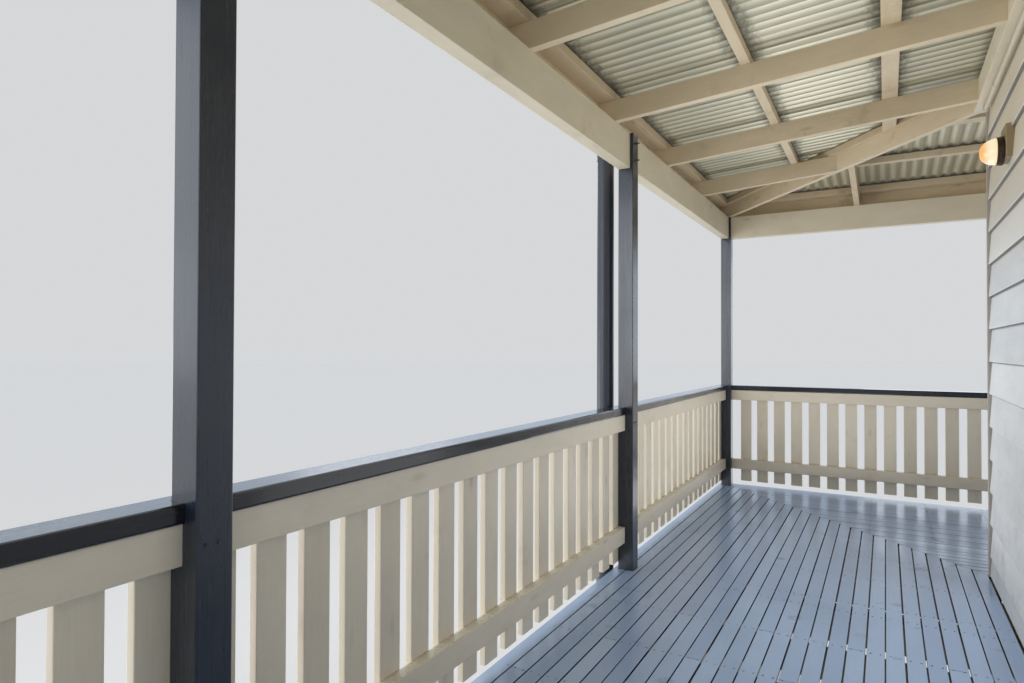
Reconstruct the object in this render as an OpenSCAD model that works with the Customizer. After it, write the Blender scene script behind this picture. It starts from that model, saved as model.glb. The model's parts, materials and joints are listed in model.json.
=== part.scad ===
// Corner of a raised timber veranda that wraps round a weatherboard beach house.
// The long arm runs along Y with its posts on the -X side, the short arm runs along X,
// and both are drawn once: the short arm is the long one mirrored across the mitre.

/* [Plan] */
// Clear width between the posts and the house wall
clear_w = 1885; // [1500:5:2400]
// Distance between posts on the long arm
long_bay = 2905; // [2400:5:3200]
// Number of bays on the long arm
long_bays = 3; // [2:1:4]
// Distance between posts on the short arm
short_bay = 2970; // [2400:5:3200]
// Number of bays on the short arm
short_bays = 2; // [2:1:4]

/* [Posts and beams] */
// Height of the deck surface above the ground
deck_z = 2700; // [1500:10:3500]
// Side of a square post
post_w = 95; // [90:1:120]
// Thickness of the post leaf that stands beside the beam
leaf_t = 20; // [15:1:30]
// Height of the beam's underside above the deck
beam_lift = 2480; // [2200:10:2700]
// Depth of the veranda beam
beam_d = 215; // [180:5:260]

/* [Deck] */
// Width of a deck board
board_w = 72; // [60:1:90]
// Gap between deck boards
board_gap = 5; // [3:1:8]
// Gap between the first deck board and the wall
wall_gap = 8; // [4:1:15]
// Thickness of a deck board
board_t = 22; // [19:1:32]
// Thickness of a joist
joist_w = 45; // [35:1:50]
// Depth of a joist
joist_d = 140; // [90:5:190]
// Largest distance between joists
joist_gap = 470; // [400:10:600]
// Thickness of a bearer
bearer_w = 75; // [50:5:100]
// Depth of a bearer
bearer_d = 190; // [140:10:240]

/* [Balustrade] */
// Height of the handrail above the deck
handrail_h = 1000; // [900:10:1100]
// Width of the handrail
cap_w = 110; // [100:1:112]
// Thickness of the handrail
cap_t = 47; // [35:1:60]
// Depth of the top and lower rails
rail_d = 98; // [70:1:120]
// Thickness of the top and lower rails
rail_t = 45; // [35:1:50]
// Height of the lower rail's underside above the deck
low_rail_lift = 164; // [100:1:200]
// Width of a picket
picket_w = 99; // [60:1:110]
// Thickness of a picket
picket_t = 29; // [18:1:32]
// Height of the pickets' lower ends above the deck
picket_lift = 45; // [10:5:60]
// Pickets to one bay of the long arm
long_pickets = 18; // [14:1:20]
// Distance from a post's middle to the first picket's middle on the long arm
long_first = 80; // [60:1:100]
// Pickets to one bay of the short arm
short_pickets = 19; // [14:1:20]
// Distance from a post's middle to the first picket's middle on the short arm
short_first = 175; // [100:1:200]

/* [Roof] */
// Pitch of the roof in degrees
pitch = 4; // [2:0.5:8]
// Thickness of a rafter
rafter_w = 45; // [35:1:50]
// Depth of a rafter, measured plumb
rafter_d = 125; // [90:5:150]
// Distance from the corner post to the first rafter of the long arm
long_rafter = 1030; // [900:10:1200]
// Distance from the corner post to the first rafter of the short arm
short_rafter = 1120; // [900:10:1200]
// Distance between rafters
rafter_gap = 1050; // [900:10:1200]
// Side of a square batten
batten = 50; // [35:1:60]
// Width of the broad batten near the house
broad_batten = 85; // [50:5:100]
// Width of the batten at the eaves
eaves_batten = 100; // [50:5:100]
// Distance between the corrugations of a roof sheet
wave_pitch = 76.2; // [70:0.1:80]
// Depth of the corrugations
wave_d = 16; // [12:1:20]
// Thickness of a roof sheet as modelled
sheet_t = 1.5; // [1:0.5:2]

/* [House wall] */
// Thickness of the wall frame with its lining
wall_t = 100; // [90:5:120]
// Height of each weatherboard that shows
board_lap = 195; // [150:0.5:230]
// Thickness of a weatherboard's lower edge
butt_t = 25; // [18:1:30]
// Side of a house stump
stump_w = 125; // [100:5:150]

/* [Gutter and downpipe] */
// Width of the eaves gutter
gutter_w = 115; // [100:5:150]
// Depth of the eaves gutter
gutter_d = 95; // [80:5:120]
// Depth of the eaves board that carries the gutter
fascia_d = 180; // [160:5:190]
// Diameter of the downpipe
pipe_d = 106; // [90:1:110]
// Distance from the corner post to the downpipe
pipe_run = 2845; // [500:5:3500]

/* [Wall lamp] */
// Diameter of the lamp glass
lamp_d = 134; // [100:2:160]
// Distance from the house corner to the lamp
lamp_run = 790; // [500:10:1500]
// Height of the lamp above the deck
lamp_lift = 2362; // [1800:2:2450]
// Height of the lamp's backing block
block_h = 165; // [150:5:200]

/* [Hidden] */

// Gap left between pieces that meet at the mitre
seam = 2;
// Longer than anything drawn, for cutting shapes
far = 20000;

// Lines of the plan, measured outwards from the wall face at zero
post_in = clear_w;
post_out = clear_w + post_w;
leaf_line = post_in + leaf_t;
board_step = board_w + board_gap;
board_n = ceil((post_out - wall_gap) / board_step);
deck_edge = wall_gap + board_n * board_step - board_gap;
rafter_tail = 30;
fascia_in = post_out + rafter_tail;
fascia_t = 20;
gutter_in = fascia_in + fascia_t;
gutter_out = gutter_in + gutter_w;
ledger_out = 64;
frame_in = butt_t;
wall_in = frame_in + wall_t;
trimmer = frame_in + bearer_w - joist_w;
sheet_out = gutter_in + 45;
sheet_in = wall_in - 20;
cap_in = post_in + 40;
rail_in = post_in + 50;

// Ends of the arms
long_end = clear_w - long_bays * long_bay;
short_end = clear_w - short_bays * short_bay;

// Heights
joist_top = deck_z - board_t;
joist_z = joist_top - joist_d;
bearer_z = joist_z - bearer_d;
beam_z = deck_z + beam_lift;
beam_top = beam_z + beam_d;
cap_z = deck_z + handrail_h - cap_t;
ledger_z = beam_top + tan(pitch) * (leaf_line - ledger_out);
sheet_rise = rafter_d + batten;

// The origin stands under the middle of the bounding box
centre_x = (-short_end - gutter_out) / 2;
centre_y = (gutter_out + long_end) / 2;

timber_dark = "#2b303a";
timber_pale = "#cfc7b6";
deck_blue = "#78869a";
zinc = "#b4b3a6";
board_white = "#d3d6d8";

// Height of the rafters' underside at a distance x from the wall face
function under(x) = beam_top + tan(pitch) * (x + leaf_line);

// Moves everything to the origin of the part
module place() {
    translate([-centre_x, -centre_y, 0]) children();
}

// A bar between two corners
module bar(a, b) {
    translate(a) cube(b - a);
}

// The half of the plan on the long arm's side of the mitre, set back from it
module long_half(setback) {
    back = setback * sqrt(2);
    translate([0, 0, -far / 2])
        linear_extrude(far)
            polygon([[-far, -far], [far, -far - back], [-far, far - back]]);
}

module cut_at_mitre(setback) {
    intersection() {
        children();
        long_half(setback);
    }
}

// Draws its children on the long arm
module on_long() {
    let ($bay = long_bay, $bays = long_bays, $end = long_end)
        let ($pickets = long_pickets, $first = long_first, $rafter = long_rafter)
            children();
}

// Draws the same children on the short arm, mirrored across the mitre
module on_short() {
    mirror([1, 1, 0])
        let ($bay = short_bay, $bays = short_bays, $end = short_end)
            let ($pickets = short_pickets, $first = short_first, $rafter = short_rafter)
                children();
}

// A profile given as points of X and Z, carried along Y
module along_y(y0, y1, points) {
    translate([0, y1, 0]) rotate([90, 0, 0]) linear_extrude(y1 - y0) polygon(points);
}

// A layer of the roof between two heights above the rafters' underside
module roof_layer(x0, x1, h0, h1, y0, y1) {
    along_y(y0, y1, [
        [x0, under(x0) + h0], [x1, under(x1) + h0],
        [x1, under(x1) + h1], [x0, under(x0) + h1]
    ]);
}

// House stumps stand under the wall bearer, in line with the posts
module stump(run) {
    bar([frame_in, run, 0], [frame_in + stump_w, run + stump_w, bearer_z]);
}

module house_stumps() {
    color(timber_dark) place() {
        stump(-frame_in - stump_w);
        for (k = [1 : long_bays]) stump(min(clear_w - k * long_bay, -frame_in - stump_w - 10));
        on_short() for (k = [1 : short_bays]) stump(clear_w - k * short_bay);
    }
}

// The house bearer carries the joists' inner ends and, on its top, the trimmer under the wall
module house_bearer() {
    bar([frame_in, $end, bearer_z], [frame_in + bearer_w, 0, joist_z]);
    bar([trimmer, $end, joist_z], [frame_in + bearer_w, 0, joist_top]);
}

module house_bearers() {
    color(timber_dark) place() {
        on_long() cut_at_mitre(seam / 2) house_bearer();
        on_short() cut_at_mitre(seam / 2) house_bearer();
    }
}

// Deck bearers are housed in the posts on their house side
module deck_bearer() {
    bar([-leaf_line, $end, bearer_z], [-leaf_line + bearer_w, leaf_line, joist_z]);
}

module deck_bearers() {
    color(timber_dark) place() {
        on_long() cut_at_mitre(seam / 2) deck_bearer();
        on_short() cut_at_mitre(seam / 2) deck_bearer();
    }
}

module joist(y) {
    bar([-post_out, y, joist_z], [trimmer, y + joist_w, joist_top]);
}

// Number of spaces between the joists of a bay, and how far apart the joists then are
function joist_spaces() = ceil(($bay - post_w - joist_w) / joist_gap);
function joist_step() = ($bay - post_w - joist_w) / joist_spaces();

// Joists of each bay, from post to post, cut back to the mitre joist in the corner bay
module joists() {
    for (k = [1 : $bays])
        for (n = [0 : k == 1 ? joist_spaces() - 1 : joist_spaces()])
            cut_at_mitre(joist_w / 2 + seam)
                joist(clear_w - k * $bay + post_w + n * joist_step());
    bar([-post_in, $end, joist_z], [trimmer, $end + joist_w, joist_top]);
}

module deck_joists() {
    color(timber_dark) place() {
        on_long() joists();
        on_short() joists();
    }
}

// The mitre joist runs from the corner post to the house corner under the ends of the boards
module mitre_joist() {
    inner = trimmer * sqrt(2) - joist_w / 2;
    color(timber_dark) place() rotate([0, 0, 135])
        bar([-inner, -joist_w / 2, joist_z], [post_in * sqrt(2), joist_w / 2, joist_top]);
}

module edge_board() {
    bar([-deck_edge, $end, joist_z], [-post_out, deck_edge, joist_top]);
}

module deck_edge_boards() {
    color(timber_dark) place() {
        on_long() cut_at_mitre(seam / 2) edge_board();
        on_short() cut_at_mitre(seam / 2) edge_board();
    }
}

// Post hole with a little room round the post
module post_hole(y) {
    slack = 2;
    bar([-post_out - slack, y - slack, joist_top - 1],
        [-post_in + slack, y + post_w + slack, deck_z + 1]);
}

// Where a board's two lengths meet: over a joist of the second bay, a different one each time
function butt_joint(k) =
    clear_w - 2 * $bay + post_w + joist_w / 2 + ((3 * k) % (joist_spaces() - 1) + 1) * joist_step();

// Deck boards run along the arm in two lengths and are mitred at the corner
module deck_boards() {
    joint_gap = 3;
    difference() {
        for (k = [0 : board_n - 1]) {
            x = -wall_gap - board_w - k * board_step;
            y = butt_joint(k);
            bar([x, $end, joist_top], [x + board_w, y - joint_gap / 2, deck_z]);
            cut_at_mitre(seam)
                bar([x, y + joint_gap / 2, joist_top], [x + board_w, deck_edge, deck_z]);
        }
        for (k = [0 : $bays]) post_hole(clear_w - k * $bay);
    }
}

module long_deck_boards() {
    color(deck_blue) place() on_long() deck_boards();
}

module short_deck_boards() {
    color(deck_blue) place() on_short() deck_boards();
}

// A post from the ground to the beam's top, with a seat for the beam and a housing for the bearer
module post(y) {
    difference() {
        bar([-post_out, y, 0], [-post_in, y + post_w, beam_top]);
        bar([-post_out - 1, y - 1, beam_z], [-leaf_line, y + post_w + 1, beam_top + 1]);
        bar([-leaf_line, y - 1, bearer_z], [-post_in + 1, y + post_w + 1, joist_z]);
    }
}

module arm_post(k) {
    post(clear_w - k * $bay);
}

// The corner post keeps only a square leaf between the two beams
module corner_post() {
    color(timber_dark) place() difference() {
        intersection() {
            post(clear_w);
            mirror([1, 1, 0]) post(clear_w);
        }
        bar([-post_out, leaf_line, beam_z], [-post_in + 1, post_out + 1, beam_top + 1]);
    }
}

module second_post() { color(timber_dark) place() on_long() arm_post(1); }

module third_post() { color(timber_dark) place() on_long() arm_post(2); }

module long_end_post() { color(timber_dark) place() on_long() arm_post(long_bays); }

module short_middle_post() { color(timber_dark) place() on_short() arm_post(1); }

module short_end_post() { color(timber_dark) place() on_short() arm_post(short_bays); }

module beam() {
    cut_at_mitre(0) bar([-post_out, $end, beam_z], [-leaf_line, post_out, beam_top]);
}

module long_beam() { color(timber_pale) place() on_long() beam(); }

module short_beam() { color(timber_pale) place() on_short() beam(); }

// One bay of balustrade: two rails between the posts and pickets nailed on their outer faces
module panel(k) {
    y0 = clear_w - k * $bay + post_w;
    y1 = y0 + $bay - post_w;
    step = $bay / $pickets;
    rail_out = rail_in + rail_t;
    first = y1 + post_w / 2 - $first;
    last = floor(($bay - $first - picket_w / 2) / step);
    for (z = [cap_z - rail_d, deck_z + low_rail_lift])
        bar([-rail_out, y0, z], [-rail_in, y1, z + rail_d]);
    for (n = [0 : last])
        bar([-rail_out - picket_t, first - n * step - picket_w / 2, deck_z + picket_lift],
            [-rail_out, first - n * step + picket_w / 2, cap_z]);
}

module long_panel_1() { color(timber_pale) place() on_long() panel(1); }

module long_panel_2() { color(timber_pale) place() on_long() panel(2); }

module long_panel_3() { color(timber_pale) place() on_long() panel(3); }

module short_panel_1() { color(timber_pale) place() on_short() panel(1); }

module short_panel_2() { color(timber_pale) place() on_short() panel(2); }

// Handrails meet at the posts, which they pass on the outer side
module handrail(k) {
    y0 = clear_w - k * $bay + (k == $bays ? 0 : post_w / 2);
    y1 = k == 1 ? cap_in + cap_w : clear_w - (k - 1) * $bay + post_w / 2 - seam;
    cut_at_mitre(seam / 2) difference() {
        bar([-cap_in - cap_w, y0, cap_z], [-cap_in, y1, cap_z + cap_t]);
        for (y = [clear_w - k * $bay, clear_w - (k - 1) * $bay])
            bar([-post_out, y, cap_z - 1], [-post_in, y + post_w, cap_z + cap_t + 1]);
    }
}

module handrails() {
    for (k = [1 : $bays]) handrail(k);
}

module long_handrails() { color(timber_dark) place() on_long() handrails(); }

module short_handrails() { color(timber_dark) place() on_short() handrails(); }

// Everything the roof timbers stand on or meet: beams, posts and ledgers
module roof_seat() {
    bar([-far, -far, 0], [-leaf_line, far, beam_top]);
    bar([-far, leaf_line, 0], [far, far, beam_top]);
    bar([-ledger_out, -far, 0], [far, ledger_out, 2 * far]);
}

// The hip rafter runs from the beams' mitre to the corner of the ledgers, dropped a little
// so that its upper edges lie in both slopes
module hip_rafter() {
    outer = fascia_in;
    drop = tan(pitch) * rafter_w / 2 / sqrt(2);
    color(timber_pale) place() difference() {
        intersection() {
            translate([0, 0, -drop]) rotate([0, 0, 135]) rotate([90, 0, 0])
                linear_extrude(rafter_w, center = true) polygon([
                    [0, under(0)], [outer * sqrt(2), under(-outer)],
                    [outer * sqrt(2), under(-outer) + rafter_d], [0, under(0) + rafter_d]
                ]);
            bar([-fascia_in, -far, 0], [far, fascia_in, 2 * far]);
        }
        roof_seat();
    }
}

module rafter(y) {
    difference() {
        roof_layer(-fascia_in, -ledger_out, 0, rafter_d, y - rafter_w / 2, y + rafter_w / 2);
        bar([-far, -far, 0], [-leaf_line, far, beam_top]);
    }
}

// Rafters of one arm, the first a jack cut against the hip, the last on the end post
module arm_rafters() {
    first = post_in - $rafter;
    cut_at_mitre(rafter_w / 2) rafter(first);
    for (y = [first - rafter_gap : -rafter_gap : $end + 2 * rafter_w]) rafter(y);
    rafter($end + rafter_w / 2);
}

module rafters() {
    color(timber_pale) place() {
        on_long() arm_rafters();
        on_short() arm_rafters();
    }
}

// Battens lie along the slope on the rafters, at the eaves, mid span, near the house and over it
batten_lines = [
    [-fascia_in, eaves_batten], [-post_in + 682, batten],
    [-post_in + 1331, broad_batten], [frame_in - 5, batten]
];

module arm_battens() {
    cut_at_mitre(hip_batten_w + seam) for (line = batten_lines)
        roof_layer(line[0], line[0] + line[1], rafter_d, sheet_rise, $end, post_out);
}

module roof_battens() {
    color(timber_pale) place() {
        on_long() arm_battens();
        on_short() arm_battens();
    }
}

// Flat battens lie on both sides of the hip and carry the cut ends of the sheets
hip_batten_w = 62;

module hip_batten() {
    difference() {
        cut_at_mitre(seam / 2)
            roof_layer(-fascia_in, -ledger_out / 2, rafter_d, sheet_rise, -far / 2, fascia_in);
        long_half(hip_batten_w);
    }
}

module hip_battens() {
    color(timber_pale) place() {
        hip_batten();
        mirror([1, 1, 0]) hip_batten();
    }
}

// The ledgers on the house wall carry the rafters' upper ends
module ledger() {
    cut_at_mitre(seam / 2)
        bar([-ledger_out, $end, ledger_z], [frame_in, ledger_out, ledger_z + rafter_d]);
}

module ledgers() {
    color(timber_pale) place() {
        on_long() ledger();
        on_short() ledger();
    }
}

module fascia() {
    z1 = under(-fascia_in) + sheet_rise - 4;
    cut_at_mitre(seam / 2)
        bar([-fascia_in - fascia_t, $end, z1 - fascia_d], [-fascia_in, gutter_in, z1]);
}

module eaves_fascias() {
    color(timber_pale) place() {
        on_long() fascia();
        on_short() fascia();
    }
}

// Quad gutter: a flat back and floor with a rounded front and a rolled top edge
gutter_t = 2;
front_r = 0.6 * gutter_d;
gutter_top = beam_top + rafter_d + 10;

// Outline of the trough's section, set in from the outer one
function trough(inset, top) = concat(
    [[inset, top], [inset, inset]],
    [for (a = [-90 : 15 : 0])
        [gutter_w - front_r + (front_r - inset) * cos(a), front_r + (front_r - inset) * sin(a)]],
    [[gutter_w - inset, top]]
);

module gutter_section() {
    difference() {
        polygon(trough(0, gutter_d));
        polygon(trough(gutter_t, gutter_d + 1));
    }
    translate([gutter_w - 6, gutter_d - 4]) circle(5, $fn = 16);
}

module gutter() {
    stop_t = 2;
    run = gutter_out - $end;
    cut_at_mitre(0.5) translate([-gutter_in, gutter_out, gutter_top - gutter_d])
        rotate([90, 0, 0]) mirror([1, 0, 0]) linear_extrude(run) gutter_section();
    translate([-gutter_in, $end + stop_t, gutter_top - gutter_d])
        rotate([90, 0, 0]) mirror([1, 0, 0]) linear_extrude(stop_t) polygon(trough(0, gutter_d));
}

strap_t = 3;
pipe_x = -gutter_out + pipe_d / 2 + strap_t;
pipe_y = post_in - pipe_run;

module long_gutter() {
    color(zinc) place() difference() {
        on_long() gutter();
        translate([pipe_x, pipe_y, gutter_top - gutter_d - 5]) cylinder(d = pipe_d - 16, h = 20, $fn = 48);
    }
}

module short_gutter() { color(zinc) place() on_short() gutter(); }

// The downpipe drops straight from the gutter to the ground, held by a strap to the beam
// and one to the edge of the deck
module strap(z, reach) {
    strap_h = 40;
    translate([0, 0, z]) cylinder(d = pipe_d + 2 * strap_t, h = strap_h, $fn = 48);
    bar([0, -pipe_d / 4, z], [-reach - pipe_x, pipe_d / 4, z + strap_h]);
}

module downpipe() {
    pipe_wall = 3;
    top = gutter_top - gutter_d;
    color(timber_dark) place() translate([pipe_x, pipe_y, 0]) difference() {
        union() {
            cylinder(d = pipe_d, h = top, $fn = 48);
            strap(joist_z + 40, deck_edge);
            strap(beam_z + 80, post_out);
        }
        translate([0, 0, -1]) cylinder(d = pipe_d - 2 * pipe_wall, h = top + 2, $fn = 48);
    }
}

// A corrugated sheet: a wave of even thickness drawn out down the slope
wave_steps = 8;
sheet_waves = 10;
lap_waves = 1;
lap_gap = 0.3;

function wave(n) = wave_d / 2 * (1 - cos(360 * n / wave_steps));

module sheet_section(waves) {
    points = waves * wave_steps;
    step = wave_pitch / wave_steps;
    polygon(concat(
        [for (n = [0 : points]) [n * step, wave(n)]],
        [for (n = [points : -1 : 0]) [n * step, wave(n) + sheet_t]]
    ));
}

module arm_sheets() {
    cover = sheet_waves * wave_pitch;
    count = ceil((sheet_out - $end) / cover);
    run = (sheet_in + sheet_out) / cos(pitch);
    for (k = [0 : count - 1]) {
        raised = sheet_rise + (k % 2) * (sheet_t + lap_gap);
        last = k == count - 1;
        cut_at_mitre(8) intersection() {
            translate([-sheet_out, $end + k * cover, under(-sheet_out) + raised])
                rotate([0, -pitch, 0]) rotate([90, 0, 90])
                    linear_extrude(run) sheet_section(sheet_waves + (last ? 0 : lap_waves));
            bar([-far, -far, 0], [far, sheet_out, 2 * far]);
        }
    }
}

module long_roof_sheets() { color(zinc) place() on_long() arm_sheets(); }

module short_roof_sheets() { color(zinc) place() on_short() arm_sheets(); }

// The hip capping is folded along the hip and laps both slopes
module capping_wing() {
    wing_w = 130;
    rise = sheet_rise + (wave_d + 2 * sheet_t + lap_gap) / cos(pitch);
    difference() {
        cut_at_mitre(0)
            roof_layer(-sheet_out, sheet_in, rise, rise + 2, -far / 2, sheet_out);
        long_half(wing_w);
    }
}

module hip_capping() {
    color(zinc) place() {
        capping_wing();
        mirror([1, 1, 0]) capping_wing();
    }
}

// A wall runs from the floor frame to the battens
module wall() {
    cut_at_mitre(0) along_y($end, 0, [
        [frame_in, joist_top], [wall_in, joist_top],
        [wall_in, under(wall_in) + rafter_d], [frame_in, under(frame_in) + rafter_d]
    ]);
}

module long_wall() { color(board_white) place() on_long() wall(); }

module short_wall() { color(board_white) place() on_short() wall(); }

// Weatherboards lap down the wall, each thick at its lower edge and thin at its upper one
board_thin = 15;
top_lap = 2655;
laps = floor(top_lap / board_lap);

function butt(k) = deck_z + top_lap - k * board_lap;

module weatherboards() {
    foot = deck_z + 4;
    foot_share = (butt(laps) - foot) / board_lap;
    steps = [for (k = [0 : laps]) each [[board_thin, butt(k)], [0, butt(k)]]];
    top_share = (ledger_z - butt(0)) / board_lap;
    along_y($end, -frame_in, concat(
        [[frame_in, foot], [frame_in, ledger_z], [board_thin * top_share, ledger_z], [0, butt(0)]],
        [for (k = [0 : laps - 1]) each [
            [board_thin, butt(k)], [0, butt(k + 1)]
        ]],
        [[board_thin, butt(laps)], [board_thin - board_thin * foot_share, foot]]
    ));
}

module long_weatherboards() { color(board_white) place() on_long() weatherboards(); }

module short_weatherboards() { color(board_white) place() on_short() weatherboards(); }

// The corner stop covers the ends of both walls' boards
module corner_stop() {
    out = 6;
    color(board_white) place()
        bar([-out, -frame_in, deck_z], [frame_in, out, ledger_z]);
}

// Conduit under the ledger, in lengths joined by a coupling, with a clip at its end
module conduit() {
    conduit_d = 25;
    x = -conduit_d / 2 - 2;
    z = ledger_z - conduit_d / 2 - 8;
    color(timber_pale) place() {
        translate([x, -70, z]) rotate([90, 0, 0]) cylinder(d = conduit_d, h = -70 - long_end, $fn = 24);
        for (y = [-440, -3440]) translate([x, y, z]) rotate([90, 0, 0])
            cylinder(d = conduit_d + 7, h = 55, $fn = 24);
        for (y = [-80, -1900, -4300])
            bar([x - conduit_d / 2 - 2, y - 20, z - conduit_d / 2 - 2],
                [x + conduit_d / 2 + 2, y, ledger_z]);
    }
}

// Lamp: a block on the boards, a round base and an egg of glass
lamp_x = -22;

module lamp_place() {
    place() translate([lamp_x, -lamp_run, deck_z + lamp_lift]) rotate([0, -90, 0]) children();
}

// The block's back is scribed to the boards
module lamp_block() {
    low = deck_z + lamp_lift - block_h * 0.3;
    color(timber_pale) place() difference() {
        bar([lamp_x, -lamp_run - block_h / 2, low], [board_thin, -lamp_run + block_h / 2, low + block_h]);
        on_long() weatherboards();
    }
}

module lamp_base() {
    color("#2a1713") lamp_place() {
        cylinder(d = lamp_d + 10, h = 17, $fn = 64);
        translate([0, 0, 17]) difference() {
            cylinder(d = lamp_d + 6, h = 14, $fn = 64);
            translate([0, 0, 2]) cylinder(d = lamp_d + 1, h = 20, $fn = 64);
        }
    }
}

module lamp_glass() {
    r = lamp_d / 2;
    reach = 81;
    color("#ffd9a0") lamp_place() translate([0, 0, 19]) rotate_extrude($fn = 64)
        polygon(concat(
            [[0, 0], [r, 0]],
            [for (a = [10 : 10 : 80]) [r * pow(cos(a), 0.8), reach * sin(a)]],
            [[0, reach]]
        ));
}

house_stumps();
house_bearers();
deck_bearers();
deck_joists();
mitre_joist();
deck_edge_boards();
long_deck_boards();
short_deck_boards();
corner_post();
second_post();
third_post();
long_end_post();
short_middle_post();
short_end_post();
long_beam();
short_beam();
long_panel_1();
long_panel_2();
long_panel_3();
short_panel_1();
short_panel_2();
long_handrails();
short_handrails();
hip_rafter();
rafters();
roof_battens();
hip_battens();
ledgers();
eaves_fascias();
long_gutter();
short_gutter();
downpipe();
long_roof_sheets();
short_roof_sheets();
hip_capping();
long_wall();
short_wall();
long_weatherboards();
short_weatherboards();
corner_stop();
conduit();
lamp_block();
lamp_base();
lamp_glass();
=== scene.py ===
"""Dresses a raised timber veranda that wraps round the corner of a weatherboard beach house.

Lengths are in metres. Shapes are worked out in the builder's plan, where the house corner is at
the origin, the long arm runs along -Y with its posts on the -X side, and the short arm is the
long arm's shape mirrored across the mitre. The plan is then moved to the CAD frame.

In the sums of a material the plain numbers are shares: how much a noise or a mask counts. A
member's noises are read at a place of its own, its tone times the finish's stride.
"""

import json
import logging
import math
from dataclasses import dataclass
from enum import Enum

import bmesh
import bpy
import numpy as np
from mathutils import Matrix, Vector

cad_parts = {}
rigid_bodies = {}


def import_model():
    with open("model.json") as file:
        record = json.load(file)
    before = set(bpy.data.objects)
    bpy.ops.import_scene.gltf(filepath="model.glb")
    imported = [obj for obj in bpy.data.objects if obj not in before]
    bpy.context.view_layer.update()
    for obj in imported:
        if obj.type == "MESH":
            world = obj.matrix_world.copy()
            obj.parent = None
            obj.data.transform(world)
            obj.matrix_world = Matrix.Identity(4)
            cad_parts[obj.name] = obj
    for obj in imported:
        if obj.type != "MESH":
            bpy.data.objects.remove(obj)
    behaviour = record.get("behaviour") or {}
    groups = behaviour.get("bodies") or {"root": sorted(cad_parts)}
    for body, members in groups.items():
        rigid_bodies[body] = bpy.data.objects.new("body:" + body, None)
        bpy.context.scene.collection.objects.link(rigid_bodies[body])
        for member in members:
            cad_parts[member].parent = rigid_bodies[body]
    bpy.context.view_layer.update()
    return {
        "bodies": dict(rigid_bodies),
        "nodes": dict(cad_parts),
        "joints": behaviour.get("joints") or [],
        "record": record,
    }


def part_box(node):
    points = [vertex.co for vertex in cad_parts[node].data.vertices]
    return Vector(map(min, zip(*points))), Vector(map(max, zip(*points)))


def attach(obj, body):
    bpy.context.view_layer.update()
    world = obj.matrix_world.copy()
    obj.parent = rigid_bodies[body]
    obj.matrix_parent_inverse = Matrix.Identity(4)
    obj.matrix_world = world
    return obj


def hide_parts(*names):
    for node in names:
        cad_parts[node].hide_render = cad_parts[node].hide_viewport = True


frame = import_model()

LOG = logging.getLogger("veranda")
RNG = np.random.default_rng(7)


class Axis(Enum):
    """The direction that a timber runs in, with the other two axes in their order."""

    X = (0, 1, 2)
    Y = (1, 0, 2)
    Z = (2, 0, 1)


class Arm(Enum):
    """The two arms of the veranda, the short one the long one mirrored across the mitre."""

    LONG = "long"
    SHORT = "short"

    @property
    def index(self) -> int:
        """Its place in a pair of sizes, the long arm's first."""
        return 0 if self is Arm.LONG else 1

    @property
    def across(self) -> str:
        """The CAD axis that runs across it."""
        return "XY"[self.index]

    @property
    def along(self) -> str:
        """The CAD axis that runs along it."""
        return "YX"[self.index]


@dataclass(frozen=True)
class Plan:
    """The driving sizes of the veranda, and the heights that follow from them.

    Distances across an arm are measured outwards from the wall face. leaf is the thickness of
    the post leaf beside the beam, wall_line the back of the wall boards, ledger_out how far the
    ledgers stand out, and low_rail the height of the lower rails above the deck.
    """

    clear: float = 1.885
    post: float = 0.095
    leaf: float = 0.020
    bays: tuple = (2.905, 2.970)
    counts: tuple = (3, 2)
    deck: float = 2.700
    board_t: float = 0.022
    joist_d: float = 0.140
    bearer_d: float = 0.190
    beam_lift: float = 2.480
    beam_d: float = 0.215
    rafter_d: float = 0.125
    rafter_w: float = 0.045
    batten: float = 0.050
    pitch: float = math.radians(4.0)
    wall_line: float = 0.025
    ledger_out: float = 0.064
    rail_d: float = 0.098
    low_rail: float = 0.164

    @property
    def post_out(self) -> float:
        """Outer face of the posts."""
        return self.clear + self.post

    @property
    def leaf_line(self) -> float:
        """Inner face of the beams."""
        return self.clear + self.leaf

    @property
    def joist_top(self) -> float:
        """Height of the joists' top."""
        return self.deck - self.board_t

    @property
    def joist_z(self) -> float:
        """Height of the joists' underside."""
        return self.joist_top - self.joist_d

    @property
    def bearer_z(self) -> float:
        """Height of the bearers' underside."""
        return self.joist_z - self.bearer_d

    @property
    def beam_z(self) -> float:
        """Height of the beams' underside."""
        return self.deck + self.beam_lift

    @property
    def beam_top(self) -> float:
        """Height of the beams' top."""
        return self.beam_z + self.beam_d

    @property
    def ledger_z(self) -> float:
        """Height of the ledgers' underside."""
        return float(self.under(-self.ledger_out))

    @property
    def low_rail_top(self) -> float:
        """Height of the lower rails' top."""
        return self.deck + self.low_rail + self.rail_d

    @property
    def fall(self) -> float:
        """Fall of the roof for each metre."""
        return math.tan(self.pitch)

    def under(self, x: float | np.ndarray) -> float | np.ndarray:
        """Height of the rafters' underside.

        Args:
            x: place across the arm, an array or a number.

        Returns:
            The height there.
        """
        return self.beam_top + self.fall * (x + self.leaf_line)

    def bay(self, arm: Arm) -> float:
        """Distance between an arm's posts."""
        return self.bays[arm.index]

    def count(self, arm: Arm) -> int:
        """Number of an arm's bays."""
        return self.counts[arm.index]

    def post_y(self, arm: Arm, k: int) -> float:
        """Near face of an arm's post number k, counted from the corner."""
        return self.clear - k * self.bay(arm)

    def end(self, arm: Arm) -> float:
        """Where an arm ends."""
        return self.post_y(arm, self.count(arm))

    def origin(self) -> np.ndarray:
        """The house corner's place in the CAD frame, from the corner post's box."""
        low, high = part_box("corner_post")
        return np.array([low.x + self.post_out, high.y - self.post_out, 0.0])


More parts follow.
